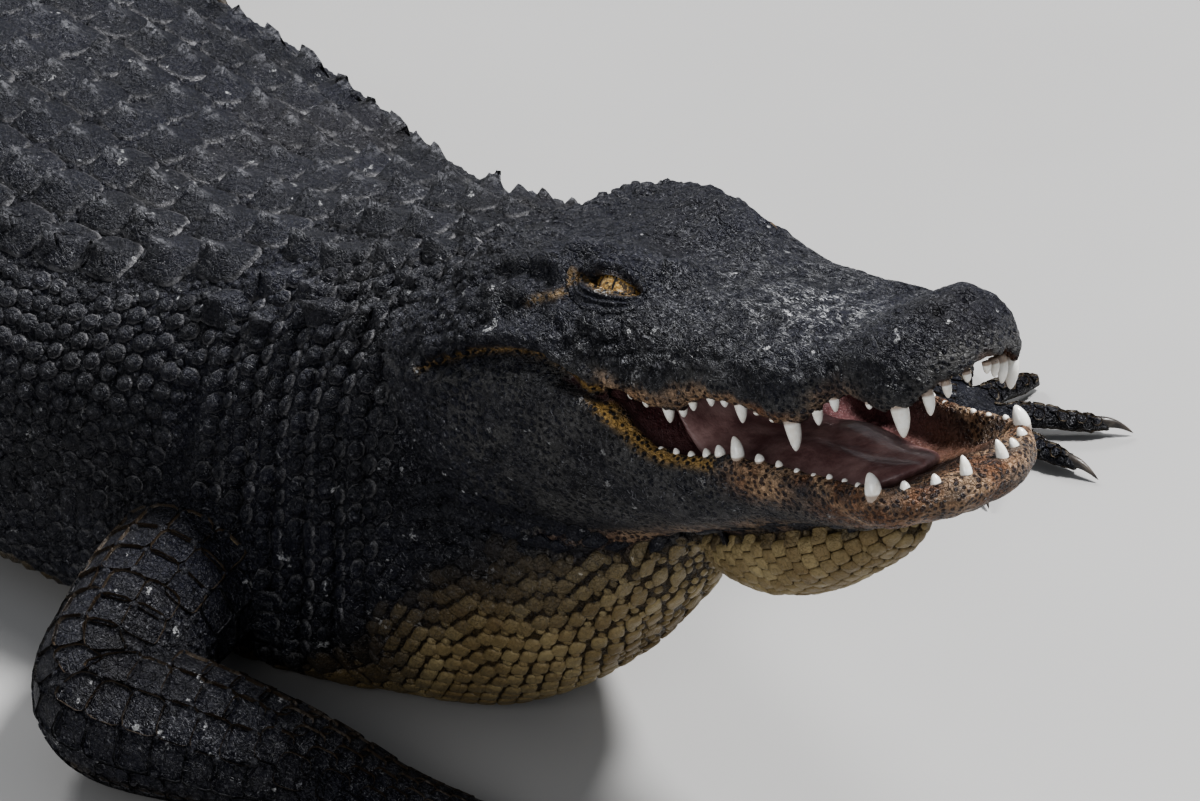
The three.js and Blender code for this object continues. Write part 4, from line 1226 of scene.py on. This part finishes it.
def lay(surface, where, size, height, template, keel=0.0, hook=0.0, tilt=0.0, depth=24.0):
    """Puts a plate at each (u, v) of the surface. size is its half length and half width in mm, height
    its rise in mm, and keel adds a peak that climbs towards the tail and drops behind. Each point is
    the surface's own, moved along its normal."""
    spots, faces = template
    u0, v0 = where[:, 0], where[:, 1]
    small = 0.5
    du = np.linalg.norm(surface(u0 + 1e-3, v0) - surface(u0 - 1e-3, v0), axis=-1) / 2e-3
    dv = np.linalg.norm(surface(u0, v0 + 1e-3) - surface(u0, v0 - 1e-3), axis=-1) / 2e-3
    x, y, h = spots[:, 0][None], spots[:, 1][None], spots[:, 2][None]
    turn = np.broadcast_to(tilt, u0.shape)[:, None]
    size = np.broadcast_to(size, (len(u0), 2))
    px = (x * np.cos(turn) - y * np.sin(turn)) * size[:, :1]
    py = (x * np.sin(turn) + y * np.cos(turn)) * size[:, 1:]
    u, v = u0[:, None] + px / du[:, None], v0[:, None] + py / dv[:, None]
    points = surface(u, v)
    eu, ev = small / du[:, None], small / dv[:, None]
    normal = unit(np.cross(surface(u + eu, v) - surface(u - eu, v), surface(u, v + ev) - surface(u, v - ev)))
    points, found = settled(points, normal, depth)
    height = np.broadcast_to(height, u0.shape)[:, None]
    keel = np.broadcast_to(keel, u0.shape)[:, None]
    edge = step(1.02, 0.82, np.maximum(np.abs(x), np.abs(y)))
    peak = np.exp(-(np.abs(y) / 0.36) ** 1.2) * step(-1.0, 0.5, x) * step(1.02, 0.5, x) * edge
    rise = h * height + keel * peak
    lean = np.broadcast_to(hook, u0.shape)[:, None] * rise
    points = points + normal * rise[..., None]
    points[..., 0] -= lean
    crown = np.broadcast_to(h * 0.8 + 0.2 * peak, rise.shape)
    return points, normal, faces, crown, (x, y), found.all(1)


def flipped(points, normal, faces):
    """True where the template's own faces look against the surface's normal."""
    a, b, c = points[0, faces[0][0]], points[0, faces[0][1]], points[0, faces[0][2]]
    return np.dot(np.cross(b - a, c - a), normal[0, 0]) < 0


class Coat:
    """Collects plates and makes one piece of them, with markings, tones and the map for baking. The
    chart is the part of the map, as its left, right, bottom and top, that the surface is unwrapped on."""
    centres = []
    reaches = []

    def __init__(self, name):
        self.name, self.parts, self.faces, self.start = name, [], [], 0

    def add(self, surface, where, size, height, template, bounds, wear_and_highlight, keep, chart=(0.0, 1.0, 0.0, 1.0),
            **more):
        where = np.asarray(where, float)
        if len(where) == 0:
            return
        size = np.broadcast_to(size, (len(where), 2))
        middle = surface(where[:, 0], where[:, 1])
        chosen = keep(middle)
        more = {key: (np.broadcast_to(value, len(where))[chosen] if np.ndim(value) else value)
                for key, value in more.items()}
        height = np.broadcast_to(height, len(where))[chosen]
        where, size = where[chosen], size[chosen]
        if len(where) == 0:
            return
        points, normal, faces, share, (x, y), found = lay(surface, where, size, height, template, **more)
        points, normal, share = points[found], normal[found], share[found]
        where, size = where[found], size[found]
        if len(where) == 0:
            return
        if flipped(points, normal, faces):
            faces = [face[::-1] for face in faces]
        (u0, u1), (v0, v1) = bounds
        left, right, low, high = chart
        root = np.stack([mix(left, right, (where[:, 0] - u0) / (u1 - u0)),
                         mix(low, high, (where[:, 1] - v0) / (v1 - v0))], -1) * 0.98 + 0.01
        self.store(points, normal, faces, share, root, (x, y), wear_and_highlight, size.mean(1))

    def store(self, points, normal, faces, share, root, square, wear_and_highlight, reach):
        n, k = points.shape[:2]
        patch = root[:, None, :] + np.stack(np.broadcast_arrays(*square), -1)[0][None] * HALF_PATCH
        marks = dict(cream=np.repeat(markings(points[:, 0], normal[:, 0])["cream"], k),
                     crown=np.clip(share, 0, 1).ravel(), tone=np.repeat(rng.uniform(0, 1, n), k),
                     wear_and_highlight=np.full(n * k, float(wear_and_highlight)))
        self.parts.append((points.reshape(-1, 3), patch.reshape(-1, 2), marks))
        offsets = self.start + np.arange(n) * k
        by_size = {}
        for face in faces:
            by_size.setdefault(len(face), []).append(face)
        for size, block in by_size.items():
            self.faces += (offsets[:, None, None] + np.array(block)[None]).reshape(-1, size).tolist()
        self.start += n * k
        Coat.centres.append(points[:, 0])
        Coat.reaches.append(np.broadcast_to(reach, n))

    def finish(self):
        verts, chart, marks = zip(*self.parts)
        verts = np.vstack(verts)
        verts[:, 2] = np.maximum(verts[:, 2], COAT_FLOOR)
        piece = make_mesh(self.name, place(verts), self.faces, coat_finish)
        for key in marks[0]:
            paint(piece, key, np.concatenate([mark[key] for mark in marks]))
        chart_on(piece, np.vstack(chart))
        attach(piece, "root")


def arcs(surface, u, start_v, end_v, pitch, shift=0.0):
    """Places along a ring at equal steps of about the pitch, and the step itself."""
    v = np.linspace(start_v, end_v, ARC_SAMPLES)
    far = lengths(surface(np.full(ARC_SAMPLES, float(u)), v))
    count = max(1, int(round(far[-1] / pitch)))
    at = (np.arange(count) + 0.5 + shift) * far[-1] / count
    at = at[(at > 0) & (at < far[-1])]
    return np.interp(at, far, v), far[-1] / count


def skin_body(s, a):
    return body(s, a, -COAT)


def clear_of_limbs(points):
    free = np.ones(len(points), bool)
    for limb in LIMBS.values():
        free &= inside_limb(points, limb["balls"][:5]) < 1.0
    return free


def clear_of_head(points):
    """True outside the head and the jaw."""
    x, y, z = to_head(points, UPPER_TURN)
    in_upper = (x < 1.17) & (np.abs(y) < upper_half(x) * 0.97) & (z < head_top(x, y)) & (z > lip_height(x))
    u, v, w = to_head(points, LOWER_TURN)
    waist = rim_height(u) - 0.02
    deep = np.clip((waist - w) / (waist - jaw_bottom(u)), 0, 2)
    ring = np.clip(np.abs(v) / jaw_half(u), 0, 2) ** (2 / 0.75) + deep ** (2 / 0.8)
    return ~(in_upper | ((u < 1.17) & (w < rim_height(u)) & (ring < 0.97)))


def clear_of_both(points):
    return clear_of_limbs(points) & clear_of_head(points)


BACK = np.pi / 2
shield_reach = curve((60, 70), (150, 96), (260, 130), (360, 168), (500, 196), (900, 200), (1040, 160),
                     (1180, 110), (1300, 84))


def half_ring(s, side):
    """Angles from the middle of the back to the middle of the belly on one side, and the points there."""
    v = np.linspace(BACK, BACK - side * np.pi, RING_SAMPLES)
    return v, skin_body(np.full(RING_SAMPLES, float(s)), v)


def arc_angles(s, distances, side):
    """The angles at given distances along the half ring, and the distance to each of its points."""
    v, points = half_ring(s, side)
    far = lengths(points)
    return np.interp(distances, far, v), far


def girth_to(s, side, low):
    """The distance along the ring from the back down to where the side comes near the given height."""
    _, points = half_ring(s, side)
    far = lengths(points)
    below = np.nonzero(points[:, 2] < low)[0]
    return far[below[0]] if len(below) else far[-1]


BODY_BOUNDS = ((BODY_START, TAIL_END), (BACK - np.pi - 0.01, BACK + np.pi + 0.01))

# Keeled scutes on the back, in rows across it
back = Coat("scutes_back")
plates = []
for s_row in np.arange(262, 1200, 50.0):
    reach = float(shield_reach(s_row))
    columns = max(2, int(round(reach / 48)))
    width = reach / columns
    for side in (-1, 1):
        angles, _ = arc_angles(s_row, (np.arange(columns) + 0.5) * width, side)
        for k, angle in enumerate(angles):
            outer = k / max(1, columns - 1)
            plates.append((s_row + rng.normal(0, 2.0) + 5 * k * (k > 1), angle, 25.5, width * 0.53,
                           4.0 + outer, rng.uniform(9, 13) + 6 * outer, rng.normal(0, 0.05)))
plates = np.array(plates)
back.add(skin_body, plates[:, :2], plates[:, 2:4], plates[:, 4], SHIELD, BODY_BOUNDS, wear_and_highlight=1.0,
         keel=plates[:, 5], hook=0.25, tilt=plates[:, 6], keep=clear_of_limbs)

# The nape: two pairs of large keels and a ring of smaller ones
nape = [(112, 26, 24, 13), (112, 66, 18, 9), (160, 30, 27, 16), (160, 78, 21, 12), (160, 112, 16, 8),
        (208, 26, 25, 15), (208, 72, 22, 14), (208, 114, 19, 13), (66, 20, 15, 9), (66, 52, 15, 10),
        (66, 84, 13, 8), (34, 12, 12, 8), (34, 38, 13, 9), (34, 66, 13, 9), (34, 94, 12, 8),
        (6, 26, 12, 8), (6, 54, 12, 9), (6, 82, 12, 9), (240, 148, 22, 17), (186, 146, 20, 15),
        (132, 128, 18, 14), (84, 118, 16, 12)]
plates = []
for s_row, across, half, keel in nape:
    for side in (-1, 1):
        angles, _ = arc_angles(s_row, np.array([across]), side)
        plates.append((s_row + rng.normal(0, 3), angles[0], half, half * 0.82, keel))
plates = np.array(plates)
back.add(skin_body, plates[:, :2], plates[:, 2:4], 4.0, SHIELD, BODY_BOUNDS, wear_and_highlight=0.8, keel=plates[:, 4],
         hook=0.3, keep=clear_of_head)
back.finish()

# Above this height the flat plates of the throat give way to the bumps of the neck
plate_rise = curve((-200, 150), (10, 130), (80, 60), (140, 14), (200, 8), (1300, 8))

# The flanks and the sides of the neck: columns of bumps that stand between the folds
flank = Coat("scales_flank")


def column(number, angles, fold, wave):
    """Where a column of bumps stands along the body: halfway between two folds, found by repetition."""
    at = np.full_like(angles, fold * (number + 0.5))
    for _ in range(4):
        at = fold * (number + 0.5 - wave(at, angles))
    return at


def side_bumps(first, last, fold, wave, rise, wide):
    for number in range(int(first / fold), int(last / fold)):
        s_row = fold * (number + 0.5)
        start_arc = shield_reach(s_row) + 6
        if s_row <= 250:
            start_arc = mix(34, shield_reach(s_row), step(40, 250, s_row))
        for side in (-1, 1):
            end_arc = girth_to(s_row, side, max(24.0, float(cream_line(s_row) + plate_rise(s_row))))
            count = max(1, int((end_arc - start_arc) / rise))
            shifted = np.arange(count) + 0.5 + 0.35 * rng.uniform(-1, 1)
            at = start_arc + shifted * (end_arc - start_arc) / count
            angles, _ = arc_angles(s_row, at, side)
            where = np.stack([column(number, angles, fold, wave), angles], -1)
            where = where[(where[:, 0] > first) & (where[:, 0] < last)]
            big = rng.uniform(0.85, 1.1, len(where))
            size = np.stack([wide * big, rise * 0.55 * big], -1)
            flank.add(skin_body, where, size, 0.26 * rise * big, PEBBLE, BODY_BOUNDS, wear_and_highlight=0.9,
                      keep=clear_of_both, keel=1.5)


NECK_END, FLANK_END = 236, 1230
side_bumps(20, NECK_END, NECK_FOLD / 2, lambda s, a: 2 * neck_wave(s, a), rise=19.0, wide=8.4)
side_bumps(NECK_END, FLANK_END, FLANK_FOLD, flank_wave, rise=17.0, wide=8.0)
flank.finish()

# The throat and belly: pale plates in rows
belly = Coat("scales_belly")
for number, s_row in enumerate(np.concatenate([np.arange(-190, 70, 13.5), np.arange(72, 1240, 20.0)])):
    throat = s_row < 70
    low = float(cream_line(s_row) + plate_rise(s_row))
    for side in (-1, 1):
        first = girth_to(s_row, side, low)
        _, far = arc_angles(s_row, 0.0, side)
        width = 19.0 if throat else 27.0
        count = max(1, int((far[-1] - first) / width))
        at = first + (np.arange(count) + 0.5 + (0.5 if number % 2 else 0)) * (far[-1] - first) / count
        at = at[at < far[-1] - 4]
        angles, _ = arc_angles(s_row, at, side)
        if len(angles) == 0:
            continue
        where = np.stack([s_row + rng.normal(0, 1.0, len(at)), angles], -1)
        size = (9.9, width * 0.37) if throat else (11.0, width * 0.54)
        belly.add(skin_body, where, size, 3.0, PLATE, BODY_BOUNDS, wear_and_highlight=0.2, chart=(0, 0.7, 0, 1),
                  keep=clear_of_both, tilt=np.pi / 4 if throat else 0.0)

SAC_BOUNDS = ((-0.3, 1.3), (-np.pi - 0.1, np.pi + 0.1))
for number, t_row in enumerate(np.linspace(0.02, 0.9, 17)):
    angles, width = arcs(chin_sac, t_row, -np.pi - 0.15, 0.15, 13.0, 0.5 if number % 2 else 0.0)
    belly.add(chin_sac, row_of(t_row, angles), (7.9, width * 0.5), 2.6, PLATE, SAC_BOUNDS, wear_and_highlight=0.2,
              keep=clear_of_head, chart=(0.72, 0.85, 0, 1))


def below_jaw(points):
    u, _, w = to_head(points, LOWER_TURN)
    return w < jaw_bottom(u) + 0.02


for number, x_row in enumerate(np.arange(0.22, 0.62, 0.03)):
    angles, width = arcs(lower_jaw, x_row, -np.pi * 0.75, -np.pi * 0.25, 13.0, 0.5 if number % 2 else 0.0)
    belly.add(lower_jaw, row_of(x_row, angles), (6.6, width * 0.52), 1.4, PLATE, ((0, 1.2), (-np.pi, 0.1)),
              wear_and_highlight=0.2, keep=below_jaw, chart=(0.87, 1, 0, 1))
belly.finish()

# The tail: rings of plates, and a crest that starts as two rows and ends as one
tail = Coat("scales_tail")
TAIL_BOUNDS = ((BODY_START, TAIL_END), (BACK - 0.1, BACK + 2 * np.pi + 0.1))
FIRST_RING = 1220.0
ring_at, ring_pitch = [], []
s_row = FIRST_RING + 2
while s_row < TAIL_END - 20:
    pitch = mix(46.0, 27.0, (s_row - FIRST_RING) / (TAIL_END - FIRST_RING))
    ring_at.append(s_row)
    ring_pitch.append(pitch)
    s_row += pitch
for number, (s_row, pitch) in enumerate(zip(ring_at, ring_pitch)):
    wide = mix(30.0, 13.0, (s_row - FIRST_RING) / (TAIL_END - FIRST_RING))
    angles, width = arcs(skin_body, s_row, BACK + 0.02, BACK + 2 * np.pi - 0.02, wide)
    tail.add(skin_body, row_of(s_row, angles), (pitch * 0.51, width * 0.51), 3.2, PLATE, TAIL_BOUNDS,
             wear_and_highlight=0.8, keep=clear_of_limbs, keel=1.5)
tail.finish()


CREST_START, CREST_JOINS = 1135.0, 2080.0
FIN_RINGS, FIN_AROUND = 9, 14
crest_height = curve((0, 12), (0.1, 26), (0.3, 38), (0.75, 42), (1, 22))
crest_apart = curve((1135, 62), (1400, 46), (1800, 26), (2080, 7))


def crest_parts():
    """Each fin is a closed blade: long at its root, it rises and leans back to a blunt edge."""
    parts, charts = [], []
    for s_row, pitch in zip([CREST_START, TAIL_START] + ring_at, [46.0, 46.0] + ring_pitch):
        gone = (s_row - CREST_START) / (TAIL_END - CREST_START)
        height, apart = float(crest_height(gone)), float(crest_apart(s_row))
        for side in [0.0] if s_row > CREST_JOINS else [-1.0, 1.0]:
            angle = arc_angles(s_row, np.array([abs(side) * apart]), side if side else 1)[0][0]
            t = np.linspace(0, 1, FIN_RINGS)[:, None]
            a = circle(FIN_AROUND)[None, :]
            lift = mix(-6.0, height, t) + 0 * a
            taper = np.sqrt(np.clip(1 - (np.clip(t, 0, 1) * 0.97) ** 2.4, 0, 1))
            long = pitch * 0.62 * mix(1.0, 0.62, t) * (0.35 + 0.65 * taper) * power(np.cos(a), 0.8)
            thin = mix(9.0, 2.6, t ** 0.6) * taper * mix(1.0, 0.6, gone) * np.sin(a)
            root = skin_body(np.array([s_row]), np.array([angle]))[0]
            back_way = unit(skin_body(np.array([s_row + 5]), np.array([angle]))[0] - root)
            normal = unit(np.array([0, 0.12 * side, 1.0]))
            normal = unit(normal - back_way * (normal @ back_way))
            cross = np.cross(normal, back_way)
            points = (root + normal * lift[..., None]
                      + back_way * (long + pitch * 0.34 * t ** 1.3)[..., None] + cross * thin[..., None])
            parts.append(capped(points))
            charts.append((0.05 + 0.9 * gone, 0.5 + 0.2 * side))
    return parts, charts


fins, fin_charts = crest_parts()
fin_verts, fin_faces = gather(fins)
fin_verts[:, 2] = np.maximum(fin_verts[:, 2], COAT_FLOOR)
crest = make_mesh("crest_tail", place(fin_verts), fin_faces, coat_finish)
fin_size = len(fins[0][0])
paint(crest, "cream", np.zeros(len(fin_verts)))
fin_crown = np.concatenate([np.repeat(np.linspace(0.2, 1, FIN_RINGS), FIN_AROUND), [0.2, 1]])
paint(crest, "crown", np.tile(fin_crown, len(fins)))
paint(crest, "tone", np.repeat(rng.uniform(0, 1, len(fins)), fin_size))
paint(crest, "wear_and_highlight", np.full(len(fin_verts), 0.8))
chart_points = np.repeat(np.array(fin_charts), fin_size, axis=0)
chart_points = chart_points + rng.uniform(-HALF_PATCH, HALF_PATCH, chart_points.shape)
chart_on(crest, chart_points)
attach(crest, "root")


# The limbs
def spaced(surface, rows_at, low, high, pitch_at):
    """Staggered rows of places on a limb. The rows are tried close together, and a place is kept only
    if none stands within most of a pitch of it, so that the outside of a bend is filled too."""
    taken, kept, pitches, shift = np.zeros((0, 3)), [], [], 0.0
    for t in rows_at:
        pitch = float(pitch_at(t))
        angles, _ = arcs(surface, t, low, high, pitch * 1.1, shift)
        middles = surface(np.full(len(angles), t), angles)
        if len(taken):
            gaps = np.linalg.norm(middles[:, None] - taken[None], axis=-1)
            free = gaps.min(1) > 0.88 * pitch
        else:
            free = np.ones(len(angles), bool)
        if free.mean() > 0.5:
            shift = 0.5 - shift
        kept.append(row_of(t, angles[free]))
        pitches.append(np.full(free.sum(), pitch))
        taken = np.vstack([taken, middles[free]])
    return np.vstack(kept), np.concatenate(pitches)


OVER_BOUNDS = ((-0.1, 1.1), (-0.3 * np.pi, 1.3 * np.pi))
UNDER_BOUNDS = ((-0.1, 1.1), (1.1 * np.pi, 1.9 * np.pi))
PATH_SAMPLES = 200
plate_pitch = curve((0, 27), (0.5, 29), (0.8, 21), (1, 13))
pebble_pitch = curve((0, 15), (1, 11))


def limb_coat(name):
    """Big plates in rows over the top of a limb, pebbles below it and small plates on the toes."""
    limb = LIMBS[name]
    balls = limb["balls"]
    coat = Coat(f"scales_{name}")
    surface = lambda t, a: tube(balls, t, a, -COAT)
    path_share = np.linspace(0, 1, PATH_SAMPLES)
    far = lengths(along(balls, path_share)[:, :3])
    rows_at = np.interp(np.arange(20, far[-1] - 3, 4.0), far, path_share)

    def keep(p):
        return (inside_limb(p, balls) < 7) & (inside_body(p) < 2) & (p[..., 2] > 2) & clear_of_head(p)

    where, pitch = spaced(surface, rows_at, -0.12 * np.pi, 1.12 * np.pi, plate_pitch)
    coat.add(surface, where, np.stack([pitch * 0.53, pitch * 0.57], -1), pitch * 0.1, PLATE, OVER_BOUNDS,
             wear_and_highlight=1.0, keep=keep, keel=1.2, chart=(0, 0.6, 0, 0.6), depth=10.0)
    where, pitch = spaced(surface, rows_at, 1.12 * np.pi, 1.88 * np.pi, pebble_pitch)
    coat.add(surface, where, np.stack([pitch * 0.5, pitch * 0.52], -1), 1.8, PEBBLE, UNDER_BOUNDS,
             wear_and_highlight=0.4, keep=keep, chart=(0, 0.6, 0.62, 1), depth=8.0)
    for number, tip in enumerate(limb["tips"]):
        toe = digit_rows(limb, tip)
        toe_surface = lambda t, a, toe=toe: tube(toe, t, a, -1.0)
        length = np.linalg.norm(np.array(toe[-1][:2]) - np.array(toe[0][:2]))
        for k, t in enumerate(np.arange(0.24, 0.98, 9.5 / length)):
            angles, width = arcs(toe_surface, t, -0.05 * np.pi, 1.05 * np.pi, 11.0, 0.5 if k % 2 else 0)
            coat.add(toe_surface, row_of(t, angles), (5.2, width * 0.54), 1.7, PEBBLE, OVER_BOUNDS,
                     wear_and_highlight=0.8, keep=lambda p: p[..., 2] > 2,
                     chart=(0.62, 1, 0.2 * number, 0.2 * number + 0.2), depth=5.0)
    coat.finish()


for limb_name in LIMBS:
    limb_coat(limb_name)


def chart_place(points):
    """Where a place on the skin lies on its unwrap: along and round the body, or along and round a limb."""
    s = -points[:, 0]
    level = mix(bottom_height(s), top_height(s), widest_share(s))
    angle = np.arctan2(points[:, 2] - level, points[:, 1] - sway(s))
    body_share = 0.01 + 0.58 * (s - BODY_START) / (TAIL_END - BODY_START)
    root = np.stack([body_share, (angle + np.pi) / (2 * np.pi)], -1)
    ahead = points[:, 0] > 0
    root[ahead, 0] = 0.6 + 0.15 * points[ahead, 0] / 520
    off = off_body(points) > 0.5
    for number, limb in enumerate(LIMBS.values()):
        spots = along(limb["balls"], np.linspace(0, 1, 40))
        gaps = np.linalg.norm(points[:, None] - spots[None, :, :3], axis=-1)
        mine = off & (gaps.min(1) < 260)
        t = gaps.argmin(1) / 39
        away = points - spots[gaps.argmin(1), :3]
        level_away = np.linalg.norm(away[:, :2], axis=-1) * np.sign(away[:, 0])
        round_it = (np.arctan2(away[:, 2], level_away) / np.pi + 1) / 2
        root[mine] = np.stack([0.77 + 0.22 * t, (number + 0.02 + 0.96 * round_it) / 4], -1)[mine]
    return np.clip(root, 0.005, 0.995)


CELL = 8.0


def fill_between(name, where, spacing, rise):
    """Small granules on the skin itself, wherever no plate stands. They are taken from the skin's own
    points in a random order, each only if it keeps its distance from the plates and the others."""
    tree = KDTree(sum(len(block) for block in Coat.centres))
    centres, reaches = np.vstack(Coat.centres), np.concatenate(Coat.reaches)
    for number, centre in enumerate(centres):
        tree.insert(centre, number)
    tree.balance()
    granules = Coat(name)
    squares, chosen = {}, []
    points = skin_verts[where]
    for number in rng.permutation(len(points)):
        point, room = points[number], spacing[number]
        _, nearest, gap = tree.find(point)
        if gap < reaches[nearest] * 0.86 + room * 0.4:
            continue
        cell = tuple((point // CELL).astype(int))
        others = [other for dx in (-1, 0, 1) for dy in (-1, 0, 1) for dz in (-1, 0, 1)
                  for other in squares.get((cell[0] + dx, cell[1] + dy, cell[2] + dz), ())]
        if others and np.linalg.norm(np.array(others) - point, axis=1).min() < room:
            continue
        squares.setdefault(cell, []).append(point)
        chosen.append(number)
    chosen = np.array(chosen)
    points, normal, room = points[chosen], skin_normal[where][chosen], spacing[chosen]
    spots, faces = GRANULE
    side = unit(np.cross(normal, np.array([0.31, 0.52, 0.79])))
    other = np.cross(normal, side)
    x, y, h = spots[:, 0][None], spots[:, 1][None], spots[:, 2][None]
    reach = (room * 0.56)[:, None]
    lift = h * rise * room[:, None]
    shape = (points[:, None] + side[:, None] * (x * reach)[..., None]
             + other[:, None] * (y * reach)[..., None] + normal[:, None] * lift[..., None])
    normals = np.repeat(normal[:, None], shape.shape[1], axis=1)
    if flipped(shape, normals, faces):
        faces = [face[::-1] for face in faces]
    granules.store(shape, normals, faces, np.broadcast_to(h, shape.shape[:2]), chart_place(points),
                   (x, y), 0.5, reach[:, 0])
    granules.finish()


head_x = to_head(skin_verts, UPPER_TURN)[0]
limb_share = off_body(skin_verts)
toes = (limb_share > 0.5) & (skin_verts[:, 2] < 34)
behind_head = rng.uniform(0, 1, len(skin_verts)) < step(0.9, 1.02, head_x)
no_mouth = marks["mouth"][:len(skin_verts)] < 0.1
open_skin = (skin_verts[:, 2] > 4) & ~toes & no_mouth & (skin_verts[:, 0] > -1260)
open_skin &= behind_head | (skin_verts[:, 0] < -60)
bare_throat = (marks["cream"][:len(skin_verts)] > 0.15) & (skin_verts[:, 0] > -90) & ~toes
bare_throat &= (limb_share < 0.5) & no_mouth & (head_x > 0.25)
room_at = 8.0 + 1.5 * (limb_share < 0.5) * (head_x > 1.3) + 3.0 * bare_throat
fill_between("scales_between", open_skin | bare_throat, room_at, rise=0.26)


# The floor, the light and the camera
def stage_material():
    shop = PaintShop("floor")
    cloud = shop.noise(1.6, 4)
    shop.feed(Base_Color=shop.blend(cloud, (0.3, 0.295, 0.29), (0.36, 0.355, 0.35)), Roughness=0.8)
    return shop.material


FLOOR_REACH = 14.0
floor_verts = FLOOR_REACH * np.array([(-1, -1, 0), (1, -1, 0), (1, 1, 0), (-1, 1, 0)], float)
floor = make_mesh("floor", floor_verts, [[0, 1, 2, 3]], stage_material(), smooth=False)

world = bpy.data.worlds.new("studio")
world.use_nodes = True
sky_colour, sky_strength = world.node_tree.nodes["Background"].inputs[:2]
sky_colour.default_value = (0.82, 0.86, 0.92, 1)
sky_strength.default_value = 0.4
bpy.context.scene.world = world


def soft_light(name, spot, target, size, watts):
    lamp = bpy.data.lights.new(name, "AREA")
    lamp.shape = "DISK"
    lamp.size = size
    lamp.energy = watts
    holder = bpy.data.objects.new(name, lamp)
    away = unit(np.array(spot, float) - np.array(target, float))
    side = unit(np.cross(np.array([0, 0, 1.0]), away))
    turn = np.eye(4)
    turn[:3, :3] = np.stack([side, np.cross(away, side), away], 1)
    turn[:3, 3] = spot
    holder.matrix_world = Matrix(turn.tolist())
    bpy.context.scene.collection.objects.link(holder)


soft_light("key", (2.2, 1.8, 4.4), (1.1, 0.0, 0.2), size=1.0, watts=420)
soft_light("fill", (3.6, -3.8, 2.6), (1.2, 0.0, 0.2), size=2.4, watts=78)
soft_light("rear", (-2.8, 0.4, 3.6), (-0.4, 0.0, 0.1), size=1.4, watts=130)

CAMERA_AZIMUTH, CAMERA_ELEVATION, LENS = 50.5, 32.0, 212.9
CAMERA_SPOT = (4.859, -2.916, 3.221)
SENSOR_WIDTH, FARTHEST = 36.0, 60.0
camera_data = bpy.data.cameras.new("camera")
camera_data.lens = LENS
camera_data.sensor_width = SENSOR_WIDTH
camera_data.clip_end = FARTHEST
camera = bpy.data.objects.new("camera", camera_data)
camera.location = CAMERA_SPOT
camera.rotation_euler = (np.radians(90 - CAMERA_ELEVATION), 0, np.radians(CAMERA_AZIMUTH))
bpy.context.scene.collection.objects.link(camera)
bpy.context.scene.camera = camera
bpy.context.scene.view_settings.view_transform = "AgX"
bpy.context.scene.view_settings.look = "AgX - Medium High Contrast"
# A dark hide sends little light on, so few bounces do, and they shorten the render
bpy.context.scene.cycles.max_bounces = 4
bpy.context.scene.cycles.diffuse_bounces = 3
